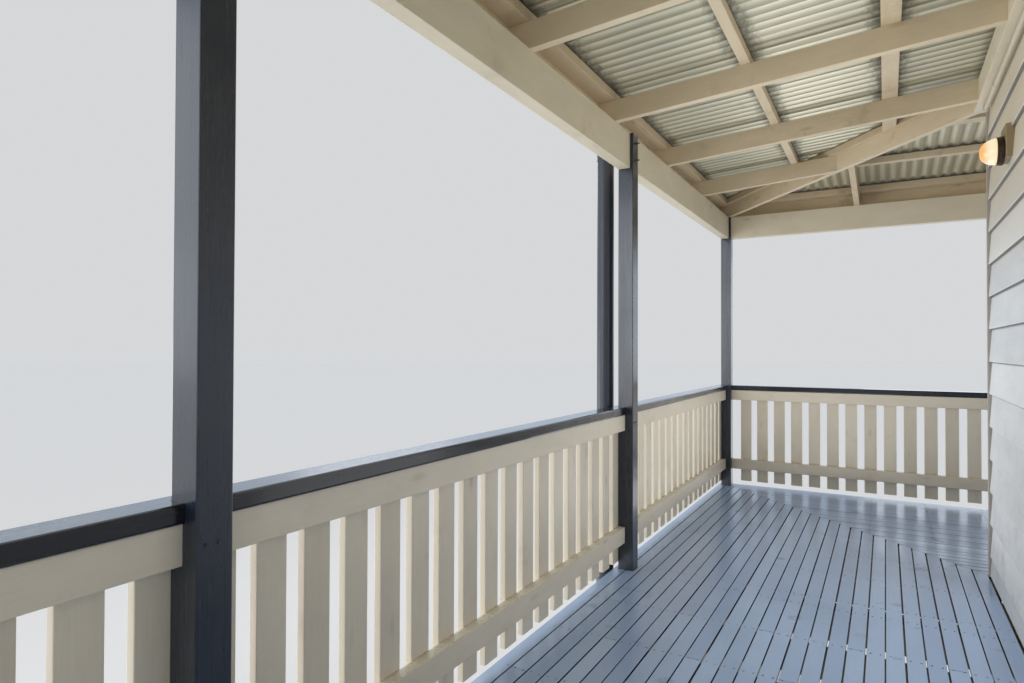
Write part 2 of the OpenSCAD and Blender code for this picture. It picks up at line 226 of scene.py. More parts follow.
PLAN = Plan()
DIAGONAL = math.sqrt(2.0)
MITRE_TURN = np.array(Matrix.Rotation(math.radians(135.0), 3, "Z"))
END_GRAIN = 0.3
UP = (0, 0, 1)


def to_arm(points: np.ndarray, arm: Arm) -> np.ndarray:
    """Moves points drawn for the long arm to an arm of the plan.

    For the short arm X and Y change places and both change sign.

    Args:
        points: an array whose last axis holds X, Y and Z.
        arm: the arm.

    Returns:
        The moved points.
    """
    if arm is Arm.LONG:
        return points
    return np.stack([-points[..., 1], -points[..., 0], points[..., 2]], -1)


def arm_bands(arm: Arm) -> list:
    """The bays of an arm as pairs of the post faces that they lie between."""
    faces = [PLAN.post_y(arm, k) for k in range(PLAN.count(arm) + 1)]
    return [(low + PLAN.post, high) for high, low in zip(faces, faces[1:])]


def across_at(arm: Arm, x: float) -> float:
    """A place across an arm, in the object coordinate that its finish reads."""
    origin = PLAN.origin()
    return round(float(origin[0] + x if arm is Arm.LONG else origin[1] - x), 4)


def along_at(arm: Arm, y: float) -> float:
    """A place along an arm, in the object coordinate that its finish reads."""
    origin = PLAN.origin()
    return round(float(origin[1] + y if arm is Arm.LONG else origin[0] - y), 4)


def full_turn(sides: int) -> np.ndarray:
    """Angles evenly round a circle, in radians."""
    return np.linspace(0.0, 2.0 * math.pi, sides, endpoint=False)


def grid(x: np.ndarray, y: np.ndarray) -> tuple:
    """Every pair of two rows of places, as two flat arrays."""
    wide_x, wide_y = np.meshgrid(x, y)
    return wide_x.ravel(), wide_y.ravel()


@dataclass(frozen=True)
class Cut:
    """A section of a timber at one place along it.

    The end leans with the other two coordinates, so a mitre is a lean of one.
    """

    at: float
    a0: float
    a1: float
    b0: float
    b1: float
    lean_a: float = 0.0
    lean_b: float = 0.0


class Shape:
    """A mesh put together from closed rings of points, with a tone and a map for each member."""

    head_sunk: float = 0.0005
    head_shoulder: float = 0.5
    head_top: float = 0.7

    def __init__(self) -> None:
        """Starts with nothing in it."""
        self.points: list = []
        self.quads: list = []
        self.caps: list = []
        self.quad_maps: list = []
        self.cap_maps: list = []
        self.tones: list = []
        self.size = 0

    def rings(self, points: np.ndarray, arm: Arm = Arm.LONG, tone: float | None = None,
              ends: bool = True, loop: bool = False) -> None:
        """Joins rings of points into a skin, a closed solid where the ends are capped.

        A ring's point j meets the next ring's point j, and the map runs along the rings in
        metres on U and round a ring on V.

        Args:
            points: rings by points by three.
            arm: the arm that the plan's shape is drawn for.
            tone: the member's own tone from 0 to 1, or None for a random one.
            ends: whether the first and last rings are closed.
            loop: whether the last ring is joined to the first.
        """
        count, width, _ = points.shape
        steps = np.linalg.norm(np.diff(points.mean(axis=1), axis=0), axis=1)
        along = np.concatenate([[0.0], np.cumsum(steps)])
        closed = np.concatenate([points, points[:, :1]], axis=1)
        sides = np.linalg.norm(np.diff(closed, axis=1), axis=2).max(axis=0)
        around = np.concatenate([[0.0], np.cumsum(sides)])
        spans = count if loop else count - 1
        i = np.arange(spans)[:, None]
        j = np.arange(width)[None, :]
        nxt_i = (i + 1) % count
        nxt_j = (j + 1) % width
        start = self.size
        corners = np.stack([i * width + j, i * width + nxt_j, nxt_i * width + nxt_j,
                            nxt_i * width + j], axis=-1).reshape(-1, 4)
        u0 = along[i] + 0 * j
        u1 = along[np.minimum(i + 1, count - 1)] + 0 * j
        v0 = around[j] + 0 * i
        v1 = around[j + 1] + 0 * i
        maps = np.stack([np.stack([u0, v0], -1), np.stack([u0, v1], -1),
                         np.stack([u1, v1], -1), np.stack([u1, v0], -1)], axis=2)
        self.quads.append(corners + start)
        self.quad_maps.append(maps.reshape(-1, 4, 2))
        if ends:
            ring = np.arange(width)
            flat = points - points.mean(axis=1, keepdims=True)
            for caps, row in ((ring[::-1], 0), (ring + (count - 1) * width, count - 1)):
                self.caps.append((caps + start).tolist())
                local = flat[row][caps % width]
                self.cap_maps.append(np.stack([local[:, 2] * END_GRAIN, local[:, :2].sum(1)], -1))
        flat_points = to_arm(points.reshape(-1, 3), arm)
        self.points.append(flat_points)
        value = RNG.random() if tone is None else tone
        self.tones.append(np.full(len(flat_points), value, np.float32))
        self.size += len(flat_points)

    def timber(self, axis: Axis, cuts: list, ease: float = 0.002, arm: Arm = Arm.LONG,
               slope: float = 0.0, seat: float | None = None, tone: float | None = None,
               frame: np.ndarray | None = None) -> None:
        """A straight timber with eased edges, as sections carried along an axis.

        Each section is a rectangle whose corners are quarter circles, and each end's place
        leans with the section's own coordinates.

        Args:
            axis: the direction that it runs in.
            cuts: its sections in order, two at one place where it is stepped.
            ease: radius of the edges.
            arm: the arm that it belongs to.
            slope: rise of the timber for each metre of X.
            seat: height below which the part beyond the beams' inner face is cut away.
            tone: its tone.
            frame: a three by three matrix that turns or shears it afterwards.
        """
        turn = np.radians([180.0, 225.0, 270.0, 270.0, 315.0, 360.0, 0.0, 45.0, 90.0, 90.0,
                           135.0, 180.0])
        side_a = np.array([0, 0, 0, 1, 1, 1, 1, 1, 1, 0, 0, 0])
        side_b = np.array([0, 0, 0, 0, 0, 0, 1, 1, 1, 1, 1, 1])
        table = np.array([[c.at, c.a0, c.a1, c.b0, c.b1, c.lean_a, c.lean_b] for c in cuts])
        at, a0, a1, b0, b1, lean_a, lean_b = (table[:, k, None] for k in range(7))
        a = np.where(side_a, a1 - ease, a0 + ease) + ease * np.cos(turn)
        b = np.where(side_b, b1 - ease, b0 + ease) + ease * np.sin(turn)
        main, first, second = axis.value
        points = np.zeros(a.shape + (3,))
        points[..., main] = at + lean_a * a + lean_b * b
        points[..., first] = a
        points[..., second] = b
        points[..., 2] += slope * points[..., 0]
        if seat is not None:
            beyond = points[..., 0] < -PLAN.leaf_line
            points[..., 2] = np.where(beyond, np.maximum(points[..., 2], seat), points[..., 2])
        if frame is not None:
            points = points @ frame.T
        self.rings(points, arm, tone)

    def runner(self, arm: Arm, size: tuple, seam: float, ease: float = 0.002,
               slope: float = 0.0, tone: float | None = None) -> None:
        """A timber that runs the whole length of an arm and is mitred at the corner.

        Args:
            arm: its arm.
            size: its faces across the arm, its underside and its top.
            seam: how far it stays back from the mitre.
            ease: radius of its edges.
            slope: its rise for each metre of X.
            tone: its tone.
        """
        cuts = [Cut(PLAN.end(arm), *size), Cut(-seam, *size, -1.0)]
        self.timber(Axis.Y, cuts, ease, arm, slope=slope, tone=tone)

    def studs(self, places: np.ndarray, normal: tuple, radius: float, height: float,
              sides: int = 8, tone: float = 0.5) -> None:
        """Low round heads, each two rings of a circle that narrows to its top.

        Args:
            places: centres of their feet, in the plan.
            normal: the way that they point, along one axis.
            radius: radius at the foot.
            height: height of the head.
            sides: number of sides.
            tone: their tone.
        """
        turn = full_turn(sides)
        up = np.array(normal, float)
        e1 = np.roll(up, 1) * np.sign(up.sum())
        e2 = np.cross(up, e1)
        circle = np.cos(turn)[:, None] * e1 + np.sin(turn)[:, None] * e2
        rings = np.stack([circle * radius - up * self.head_sunk,
                          circle * radius + up * height * self.head_shoulder,
                          circle * radius * self.head_top + up * height])
        for place in places:
            self.rings(rings + place, tone=tone)

    def build(self, name: str, smooth: float | None = None) -> bpy.types.Object:
        """Makes the mesh object in the CAD frame, with its normals turned outwards.

        Args:
            name: the piece's name.
            smooth: angle in degrees under which neighbouring faces are shaded as one.

        Returns:
            The object, at the origin.
        """
        mesh = bpy.data.meshes.new(name)
        points = np.concatenate(self.points) + PLAN.origin()
        quads = np.concatenate(self.quads)
        faces = quads.tolist() + self.caps
        mesh.from_pydata(points.tolist(), [], faces)
        maps = np.concatenate([np.concatenate(self.quad_maps).reshape(-1, 2), *self.cap_maps]) \
            if self.cap_maps else np.concatenate(self.quad_maps).reshape(-1, 2)
        layer = mesh.uv_layers.new(name="Grain")
        layer.data.foreach_set("uv", maps.astype(np.float32).ravel())
        tone = mesh.attributes.new("tone", "FLOAT", "POINT")
        tone.data.foreach_set("value", np.concatenate(self.tones))
        work = bmesh.new()
        work.from_mesh(mesh)
        bmesh.ops.recalc_face_normals(work, faces=work.faces)
        work.to_mesh(mesh)
        work.free()
        if smooth is not None:
            mesh.shade_smooth()
            mesh.set_sharp_from_angle(angle=math.radians(smooth))
        mesh.validate()
        piece = bpy.data.objects.new(name, mesh)
        bpy.context.scene.collection.objects.link(piece)
        return piece


class Value:
    """A number that flows through a material, written as ordinary arithmetic."""

    def __init__(self, graph: "Graph", socket: bpy.types.NodeSocket) -> None:
        """Holds one output socket of a graph."""
        self.graph = graph
        self.socket = socket

    def _math(self, operation: str, *inputs: "Value | float", clamp: bool = False) -> "Value":
        """Adds one Math node and returns its result."""
        return self.graph.value("ShaderNodeMath", dict(operation=operation, use_clamp=clamp),
                                *inputs)

    def __add__(self, other: "Value | float") -> "Value":
        """Sum."""
        return self._math("ADD", self, other)

    def __radd__(self, other: "Value | float") -> "Value":
        """Sum with a plain number on the left."""
        return self._math("ADD", other, self)

    def __sub__(self, other: "Value | float") -> "Value":
        """Difference."""
        return self._math("SUBTRACT", self, other)

    def __rsub__(self, other: "Value | float") -> "Value":
        """Difference with a plain number on the left."""
        return self._math("SUBTRACT", other, self)

    def __mul__(self, other: "Value | float") -> "Value":
        """Product."""
        return self._math("MULTIPLY", self, other)

    def __rmul__(self, other: "Value | float") -> "Value":
        """Product with a plain number on the left."""
        return self._math("MULTIPLY", other, self)

    def __truediv__(self, other: "Value | float") -> "Value":
        """Quotient."""
        return self._math("DIVIDE", self, other)

    def __rtruediv__(self, other: "Value | float") -> "Value":
        """Quotient with a plain number on the left."""
        return self._math("DIVIDE", other, self)

    def clamped(self) -> "Value":
        """The value held between 0 and 1."""
        return self._math("ADD", self, 0.0, clamp=True)

    def fraction(self) -> "Value":
        """What is left above the whole number."""
        return self._math("FRACT", self)

    def size(self) -> "Value":
        """The value without its sign."""
        return self._math("ABSOLUTE", self)

    def least(self, other: "Value | float") -> "Value":
        """The smaller of two values."""
        return self._math("MINIMUM", self, other)

    def most(self, other: "Value | float") -> "Value":
        """The larger of two values."""
        return self._math("MAXIMUM", self, other)

    def ramp(self, low: float, high: float) -> "Value":
        """A smooth rise from 0 at low to 1 at high, or a fall where low is the larger."""
        return self.graph.value("ShaderNodeMapRange", dict(interpolation_type="SMOOTHSTEP"),
                                self, low, high, 0.0, 1.0)


Socket = bpy.types.NodeSocket
Input = Value | bpy.types.NodeSocket | float | tuple | None


class Graph:
    """A material's nodes, added by one method and joined by values."""

    def __init__(self, name: str) -> None:
        """Starts an empty material.

        Args:
            name: the material's name.
        """
        self.material = bpy.data.materials.new(name)
        self.material.use_nodes = True
        self.tree = self.material.node_tree
        self.tree.nodes.clear()
        self.coords = self.node("ShaderNodeTexCoord", {}).outputs["Object"]

    def node(self, kind: str, settings: dict, *inputs: Input, **named: Input) -> bpy.types.Node:
        """Adds a node.

        Args:
            kind: the node's type.
            settings: properties that are set first.
            inputs: values or links of its sockets in their order.
            named: values or links of its sockets by name, with _ for a space.

        Returns:
            The node.
        """
        made = self.tree.nodes.new(kind)
        for key, setting in settings.items():
            setattr(made, key, setting)
        sockets = [s for s in made.inputs if s.enabled]
        pairs = list(zip(sockets, inputs))
        pairs += [(made.inputs[key.replace("_", " ")], value) for key, value in named.items()]
        for socket, value in pairs:
            if value is None:
                continue
            source = value.socket if isinstance(value, Value) else value
            if isinstance(source, Socket):
                self.tree.links.new(source, socket)
            else:
                socket.default_value = value
        return made

    def value(self, kind: str, settings: dict, *inputs: Input, **named: Input) -> Value:
        """Adds a node and wraps its first output."""
        return Value(self, self.node(kind, settings, *inputs, **named).outputs[0])

    def place(self, scale: tuple) -> Socket:
        """Object coordinates stretched by a scale on each axis."""
        stretched = self.node("ShaderNodeVectorMath", dict(operation="MULTIPLY"), self.coords, scale)
        return stretched.outputs[0]

    def grain_place(self, scale: tuple, shift: Value) -> Socket:
        """The piece's own map, U along a member and V round it, stretched by a scale.

        Args:
            scale: the stretch on U, V and the third axis.
            shift: a value added to every coordinate, so that members differ.

        Returns:
            The vector's socket.
        """
        own = self.node("ShaderNodeUVMap", dict(uv_map="Grain")).outputs[0]
        stretched = self.node("ShaderNodeVectorMath", dict(operation="MULTIPLY"), own, scale)
        moved = self.node("ShaderNodeVectorMath", dict(operation="ADD"), stretched.outputs[0],
                          shift)
        return moved.outputs[0]

    def tone(self) -> Value:
        """The member's own tone, from 0 to 1."""
        made = self.node("ShaderNodeAttribute", dict(attribute_name="tone"))
        return Value(self, made.outputs["Fac"])

    def noise(self, vector: Socket, scale: float, detail: float = 4.0,
              rough: float = 0.55) -> Value:
        """Soft noise about one half.

        Args:
            vector: the coordinates that it is read at.
            scale: how many waves there are to a unit of them.
            detail: how many finer noises are laid over it.
            rough: how much each finer one counts.

        Returns:
            The noise.
        """
        made = self.node("ShaderNodeTexNoise", {}, Vector=vector, Scale=scale, Detail=detail,
                         Roughness=rough)
        return Value(self, made.outputs[0])

    def axis(self, name: str) -> Value:
        """One object coordinate in metres."""
        made = self.node("ShaderNodeSeparateXYZ", {}, self.coords)
        return Value(self, made.outputs[name])

    def facing(self, name: str) -> Value:
        """One part of the direction that the surface faces, in the object's axes."""
        way = self.node("ShaderNodeTexCoord", {}).outputs["Normal"]
        return Value(self, self.node("ShaderNodeSeparateXYZ", {}, way).outputs[name])

    def mix(self, share: Value | float, first: Socket | tuple, second: Socket | tuple) -> Socket:
        """A colour between two.

        Args:
            share: share of the second, a value or a number.
            first: a colour or a colour socket.
            second: a colour or a colour socket.

        Returns:
            The mixed colour's socket.
        """
        made = self.tree.nodes.new("ShaderNodeMix")
        made.data_type = "RGBA"
        for socket, value in ((made.inputs[0], share), (made.inputs[6], first),
                              (made.inputs[7], second)):
            source = value.socket if isinstance(value, Value) else value
            if isinstance(source, Socket):
                self.tree.links.new(source, socket)
            else:
                socket.default_value = value
        return made.outputs[2]

    def bump(self, height: Value, depth: float, strength: float = 1.0) -> Socket:
        """A normal from a height in parts of a depth in metres."""
        made = self.node("ShaderNodeBump", {}, Strength=strength, Distance=depth, Height=height)
        return made.outputs[0]

    def surface(self, colour: Socket | tuple, rough: Value | float, normal: Socket | None = None,
                **settings: Socket | float) -> bpy.types.Material:
        """Finishes the material with one shader.

        Args:
            colour: base colour or its socket.
            rough: roughness, a number or a value.
            normal: a normal's socket.
            settings: numbers for the shader's other sockets, with _ for a space.

        Returns:
            The material.
        """
        shader = self.node("ShaderNodeBsdfPrincipled", {}, Base_Color=colour, Roughness=rough,
                           Normal=normal, **settings)
        self.node("ShaderNodeOutputMaterial", {}, shader.outputs[0])
        return self.material


def paint(red: int, green: int, blue: int) -> tuple:
    """A paint's colour as the shader's linear values.

    Args:
        red: red from 0 to 255, as on a screen.
        green: green likewise.
        blue: blue likewise.

    Returns:
        Red, green, blue and a full alpha.
    """
    screen = np.array([red, green, blue]) / 255.0
    linear = np.where(screen <= 0.04045, screen / 12.92, ((screen + 0.055) / 1.055) ** 2.4)
    return (*linear.tolist(), 1.0)


@dataclass(frozen=True)
class PaintedTimber:
    """Brushed paint on sawn timber: long grain, brush marks, knots that show and a little dirt.

    knots, grime, lines and sheen are shares, and ledge is a height at which dirt lies.
    """

    name: str
    slot: str
    colour: tuple
    shade: tuple
    knot: tuple
    knots: float = 0.5
    rough: float = 0.45
    grime: float = 0.3
    lines: float = 0.5
    sheen: float = 0.10
    ledge: float | None = None
    gloss: float = 0.5
    coat: float = 0.0
    coat_rough: float = 0.12
    stride: float = 37.0
    relief: float = 0.0008

    def material(self) -> bpy.types.Material:
        """Builds the paint's nodes.

        Returns:
            The material.
        """
        g = Graph(self.name)
        tone = g.tone()
        shift = tone * self.stride
        grain = g.noise(g.grain_place((2.0, 60.0, 1.0), shift), 4.0, 5.0, 0.6)
        brush = g.noise(g.grain_place((1.2, 220.0, 1.0), shift), 3.0, 3.0, 0.6)
        streak = g.noise(g.grain_place((0.8, 26.0, 1.0), shift), 2.0, 4.0, 0.6)
        blotch = g.noise(g.grain_place((1.6, 4.0, 1.0), shift), 1.4, 4.0, 0.6)
        cells = g.node("ShaderNodeTexVoronoi", dict(feature="F1"),
                       Vector=g.grain_place((2.3, 7.0, 1.0), shift), Scale=1.0, Randomness=1.0)
        distance = Value(g, cells.outputs["Distance"])
        knot = distance.ramp(0.16, 0.02) * self.knots
        share = (tone - 0.5) * 0.6 + (blotch - 0.5) * 1.4 + (grain - 0.5) * self.lines + 0.4
        colour = g.mix(share.clamped(), self.colour, self.shade)
        colour = g.mix((knot * (0.35 + grain * 0.5)).clamped(), colour, self.knot)
        dirt = g.noise(g.coords, 3.0, 6.0, 0.7).ramp(0.56, 0.74) * self.grime
        if self.ledge is not None:
            grit = g.noise(g.coords, 60.0, 4.0, 0.7).ramp(0.48, 0.66)
            dirt = dirt.most((g.axis("Z") - self.ledge).size().ramp(0.005, 0.001) * grit * 0.4)
        colour = g.mix(dirt, colour, self.knot)
        height = grain * 0.5 + brush * 0.3 + streak * 0.4 + knot * 0.25
        rough = self.rough + (blotch - 0.5) * 0.2 + (streak - 0.5) * self.sheen + dirt * 0.25
        return g.surface(colour, rough, g.bump(height, self.relief, 0.5),
                         Specular_IOR_Level=self.gloss, Coat_Weight=self.coat,
                         Coat_Roughness=self.coat_rough)


@dataclass(frozen=True)
class BoardPaint:
    """Paint on lapped wall boards: a painted highlight on each board's lower edge, painted shade
    on the butt's underside and in a band under the next board, a tone to each board, painted
    warm light towards the roof and scuffs near the deck.

    start is the lowest butt's height, lap the height of a board and floor that of the deck. The
    phase runs from 0 at a board's lower edge, lowered by below, to 1 at the next board's.
    """

    name: str
    slot: str
    start: float
    lap: float
    floor: float
    colour: tuple = paint(230, 233, 234)
    shade: tuple = paint(204, 208, 212)
    # The edge colour is a painted highlight, the line colour painted shade and the warm colour
    # painted warm light.
    edge: tuple = paint(236, 236, 234)
    line: tuple = paint(104, 97, 90)
    warm: tuple = paint(214, 201, 172)
    scuff: tuple = paint(150, 146, 140)
    rough: float = 0.48
    stride: float = 41.0
    below: float = 0.001
    warm_rise: tuple = (1.5, 2.6)
    scuff_fall: tuple = (1.5, 0.1)
    relief: float = 0.0010

    def material(self) -> bpy.types.Material:
        """Builds the paint's nodes, with each board's place taken from its height.

        Returns:
            The material.
        """
        g = Graph(self.name)
        tone = g.tone()
        shift = tone * self.stride
        height = g.axis("Z")
        phase = ((height - self.start + self.below) / self.lap).fraction()
        grain = g.noise(g.grain_place((2.0, 60.0, 1.0), shift), 4.0, 5.0, 0.6)
        blotch = g.noise(g.grain_place((1.4, 5.0, 1.0), shift), 1.6, 5.0, 0.6)
        share = (tone - 0.5) * 0.9 + (blotch - 0.5) * 1.1 + (grain - 0.5) * 0.4 + 0.45
        colour = g.mix(share.clamped(), self.colour, self.shade)
        above = height - self.floor
        # Painted warm light: the boards grow warmer towards the roof.
        colour = g.mix(above.ramp(*self.warm_rise) * 0.75, colour, self.warm)
        low = g.noise(g.coords, 5.0, 6.0, 0.7).ramp(0.45, 0.75) * above.ramp(*self.scuff_fall)
        colour = g.mix(low * 0.35, colour, self.scuff)
        # Painted shade in a ragged band under each board's butt.
        ragged = phase + (g.noise(g.coords, 9.0, 4.0, 0.6) - 0.5) * 0.03
        colour = g.mix(ragged.ramp(0.935, 0.985) * 0.75, colour, self.line)
        # A painted highlight along each board's lower edge.
        colour = g.mix(phase.ramp(0.032, 0.014) * 0.8, colour, self.edge)
        # Painted shade on the butt's underside.
        colour = g.mix(phase.ramp(0.0078, 0.0062) * 0.85, colour, self.line)
        rough = self.rough + (blotch - 0.5) * 0.2 + low * 0.15
        return g.surface(colour, rough, g.bump(grain * 0.5 + blotch * 0.5, self.relief, 0.5))


@dataclass(frozen=True)
class DeckPaint:
    """Gloss deck paint with faint grain, a tone and a slight cup to each board, and stains.

    The boards lie side by side on the axis across, from start on, a step apart. Between the
    depths gap_from and gap_to the boards turn dark: painted shade in the gaps.
    """

    name: str
    slot: str
    across: str
    start: float
    step: float
    colour: tuple = paint(135, 157, 191)
    pale: tuple = paint(163, 185, 215)
    dark: tuple = paint(74, 84, 104)
    # The side colour is painted shade in the gaps between boards.
    side: tuple = paint(15, 12, 12)
    rough: float = 0.19
    gloss: float = 0.8
    stride: float = 53.0
    relief: float = 0.0010
    gap_from: float = 0.0008
    gap_to: float = 0.0022

    def material(self) -> bpy.types.Material:
        """Builds the paint's nodes.

        Returns:
            The material.
        """
        g = Graph(self.name)
        tone = g.tone()
        shift = tone * self.stride
        grain = g.noise(g.grain_place((1.4, 90.0, 1.0), shift), 3.0, 5.0, 0.65)
        ripple = g.noise(g.grain_place((3.0, 16.0, 1.0), shift), 2.0, 3.0, 0.5)
        wear = g.noise(g.coords, 1.3, 3.0, 0.5)
        stain = g.noise(g.coords, 5.5, 2.0, 0.4).ramp(0.66, 0.76)
        speck = g.noise(g.coords, 70.0, 2.0, 0.5).ramp(0.68, 0.76)
        colour = g.mix(((tone - 0.5) * 0.7 + 0.35 + (grain - 0.5) * 0.4).clamped(),
                       self.colour, self.pale)
        marks = wear.ramp(0.45, 0.75) * 0.16 + stain * 0.35 + speck * 0.25
        colour = g.mix(marks.clamped(), colour, self.dark)
        # Painted shade: below the deck's top the boards' sides and undersides turn dark.
        below = g.axis("Z").ramp(PLAN.deck - self.gap_from, PLAN.deck - self.gap_to)
        colour = g.mix(below, colour, self.side)
        off = ((g.axis(self.across) - self.start) / self.step).fraction() - 0.5
        cup = off * off * 1.6 + off * (tone - 0.5) * 1.2
        rough = self.rough + wear.ramp(0.35, 0.75) * 0.07 + (grain - 0.5) * 0.05 + stain * 0.05
        height = grain * 0.25 + ripple * 0.5 + cup
        return g.surface(colour, rough, g.bump(height, self.relief, 0.6),
                         Specular_IOR_Level=self.gloss)


@dataclass(frozen=True)
class RoofSheet:
    """Weathered roofing steel: painted shade along each corrugation's trough, soft stains, and mould
    that gathers on its underside beside the battens.

    lines holds each batten's middle and half width on the axis across, and the corrugations
    follow each other on the axis along, from start on.
    """

    name: str
    slot: str
    across: str
    lines: tuple
    along: str
    start: float
    wave: float
    colour: tuple = paint(225, 221, 199)
    # The trough colour is painted shade along the corrugations.
    trough: tuple = paint(146, 140, 113)
    stain: tuple = paint(150, 158, 166)
    mould: tuple = paint(58, 55, 44)
    rough: float = 0.34
    metal: float = 0.45
    reach: float = 0.085
    relief: float = 0.0005

    def material(self) -> bpy.types.Material:
        """Builds the steel's nodes, with the mould thickest beside each batten.

        Returns:
            The material.
        """
        g = Graph(self.name)
        down = (1.0, 14.0, 1.0) if self.across == "X" else (14.0, 1.0, 1.0)
        streak = g.noise(g.place(down), 1.2, 4.0, 0.6)
        patch = g.noise(g.coords, 2.6, 5.0, 0.6)
        fine = g.noise(g.coords, 34.0, 4.0, 0.7)
        speck = g.noise(g.coords, 110.0, 2.0, 0.6)
        spot = g.axis(self.across)
        nearest = None
        for middle, half in self.lines:
            gap = (spot - middle).size() - half
            nearest = gap if nearest is None else nearest.least(gap)
        phase = ((g.axis(self.along) - self.start) / self.wave + (streak - 0.5) * 0.10).fraction()
        # Mask of the painted shade, strongest at each corrugation's trough.
        crest = ((phase - 0.5).size() * 2.0).ramp(0.15, 0.85)
        ragged = nearest + (fine - 0.5) * 0.13 + (patch - 0.5) * 0.10
        dirt = speck * 0.5 + fine * 0.5
        sheltered = g.facing("Z").ramp(0.1, -0.1)
        beside = ragged.ramp(self.reach, -0.01) * sheltered
        mould = beside * 0.75 + patch.ramp(0.60, 0.80) * dirt * 0.5
        colour = g.mix(crest * 0.75, self.colour, self.trough)
        colour = g.mix(streak.ramp(0.55, 0.80) * 0.5, colour, self.stain)
        colour = g.mix(mould.clamped(), colour, self.mould)
        rough = self.rough + mould * 0.3 + (fine - 0.5) * 0.15
        return g.surface(colour, rough, g.bump(fine, self.relief, 0.35), Metallic=self.metal)


@dataclass(frozen=True)
class Plain:
    """A small part's finish with fine noise in its colour and roughness."""

    name: str
    slot: str
    colour: tuple
    shade: tuple
    rough: float = 0.4
    metal: float = 0.0
    scale: float = 30.0
    relief: float = 0.0004

    def material(self) -> bpy.types.Material:
        """Builds the finish's nodes.

        Returns:
            The material.
        """
        g = Graph(self.name)
        fine = g.noise(g.coords, self.scale, 5.0, 0.6)
        wide = g.noise(g.coords, self.scale * 0.1, 4.0, 0.6)
        colour = g.mix((wide * 0.7 + fine * 0.5 - 0.1).clamped(), self.colour, self.shade)
        rough = self.rough + (fine - 0.5) * 0.2
        return g.surface(colour, rough, g.bump(fine, self.relief, 0.35), Metallic=self.metal)


@dataclass(frozen=True)
class LampGlass:
    """Opal glass lit from inside, brightest at hot_x and amber at its rim, rim_x, and its tip."""

    name: str
    slot: str
    hot_x: float
    rim_x: float
    spread: float = 0.042
    colour: tuple = paint(120, 84, 52)
    glow: tuple = paint(252, 180, 100)
    hot: tuple = paint(255, 240, 204)
    rim: tuple = paint(240, 120, 44)
    rough: float = 0.22
    strength: float = 0.9
    coat: float = 0.3

    def material(self) -> bpy.types.Material:
        """Builds the glass's nodes.

        Returns:
            The material.
        """
        g = Graph(self.name)
        away = (g.axis("X") - self.hot_x).size() / self.spread
        cloud = (g.noise(g.coords, 30.0, 3.0) - 0.5) * 0.25
        light = g.mix((away + cloud).ramp(1.05, 0.15), self.glow, self.hot)
        light = g.mix((g.axis("X") - self.rim_x).ramp(-0.006, -0.001), light, self.rim)
        return g.surface(self.colour, self.rough, Emission_Color=light,
                         Emission_Strength=self.strength, Coat_Weight=self.coat)


DARK = PaintedTimber("charcoal_paint", "dark_timber", paint(31, 39, 52), paint(39, 47, 60),
                     paint(22, 25, 32), knots=0.25, rough=0.28, grime=0.15, lines=0.4, sheen=0.3,
                     coat=0.3)
CAP = PaintedTimber("handrail_paint", "dark_timber", paint(14, 18, 27), paint(21, 25, 35),
                    paint(12, 14, 18), knots=0.25, rough=0.24, grime=0.15, lines=0.4, sheen=0.3,
                    gloss=0.35, coat=0.6)
# The lamp block is the cream paint made darker: painted shade on the block.
BLOCK = PaintedTimber("lamp_block_shade_paint", "pale_timber", paint(156, 140, 108), paint(140, 124, 94),
                      paint(110, 96, 72), knots=0.4, rough=0.5, grime=0.4)
CREAM = PaintedTimber("cream_paint", "pale_timber", paint(222, 212, 188), paint(205, 194, 170),
                      paint(150, 136, 112), knots=0.55, rough=0.42, grime=0.25, lines=0.7)
RAIL = PaintedTimber("rail_paint", "pale_timber", paint(221, 212, 194), paint(205, 195, 177),
                     paint(142, 132, 116), knots=0.5, rough=0.42, grime=0.2, lines=0.8,
                     ledge=PLAN.low_rail_top)
ROOF_TIMBER = PaintedTimber("roof_timber_paint", "roof_timber", paint(222, 206, 177),
                            paint(199, 180, 149), paint(132, 112, 82), knots=0.6, rough=0.52,
                            grime=0.45, lines=0.7)
# The corner stop is painted darker than the wall boards: painted shade on the stop.
STOP = PaintedTimber("corner_stop_shade_paint", "board_paint", paint(170, 163, 158),
                     paint(152, 146, 142), paint(120, 114, 108), knots=0.1, rough=0.5)
RAW = PaintedTimber("bare_timber", "raw_timber", paint(104, 92, 74), paint(86, 76, 60),
                    paint(58, 48, 36), knots=0.7, rough=0.8, grime=0.5)
SCREW = Plain("screw_paint", "deck_paint", paint(44, 48, 58), paint(62, 66, 76))
BOLT = Plain("bolt_paint", "dark_timber", paint(40, 42, 50), paint(84, 82, 80), rough=0.3,
             metal=0.4)
LAMP_RING = Plain("lamp_ring_metal", "lamp_metal", paint(44, 30, 24), paint(74, 54, 42),
                  metal=0.5, scale=60.0)
GUTTER = Plain("gutter_paint", "gutter_metal", paint(196, 196, 190), paint(176, 176, 170),
               metal=0.1, scale=12.0)
PIPE = Plain("pipe_paint", "pipe_metal", paint(44, 50, 60), paint(58, 64, 72), rough=0.35,
             scale=10.0)
CONDUIT = Plain("conduit_plastic", "conduit", paint(214, 205, 184), paint(196, 187, 166),
                rough=0.45, scale=14.0)
LINING = Plain("lining_paint", "raw_timber", paint(222, 221, 216), paint(212, 211, 205), rough=0.6,
               scale=8.0)
CAPPING = Plain("capping_steel", "sheet_metal", paint(176, 177, 170), paint(150, 150, 142),
                rough=0.5, metal=0.3, scale=16.0)


Finish = PaintedTimber | BoardPaint | DeckPaint | RoofSheet | Plain | LampGlass


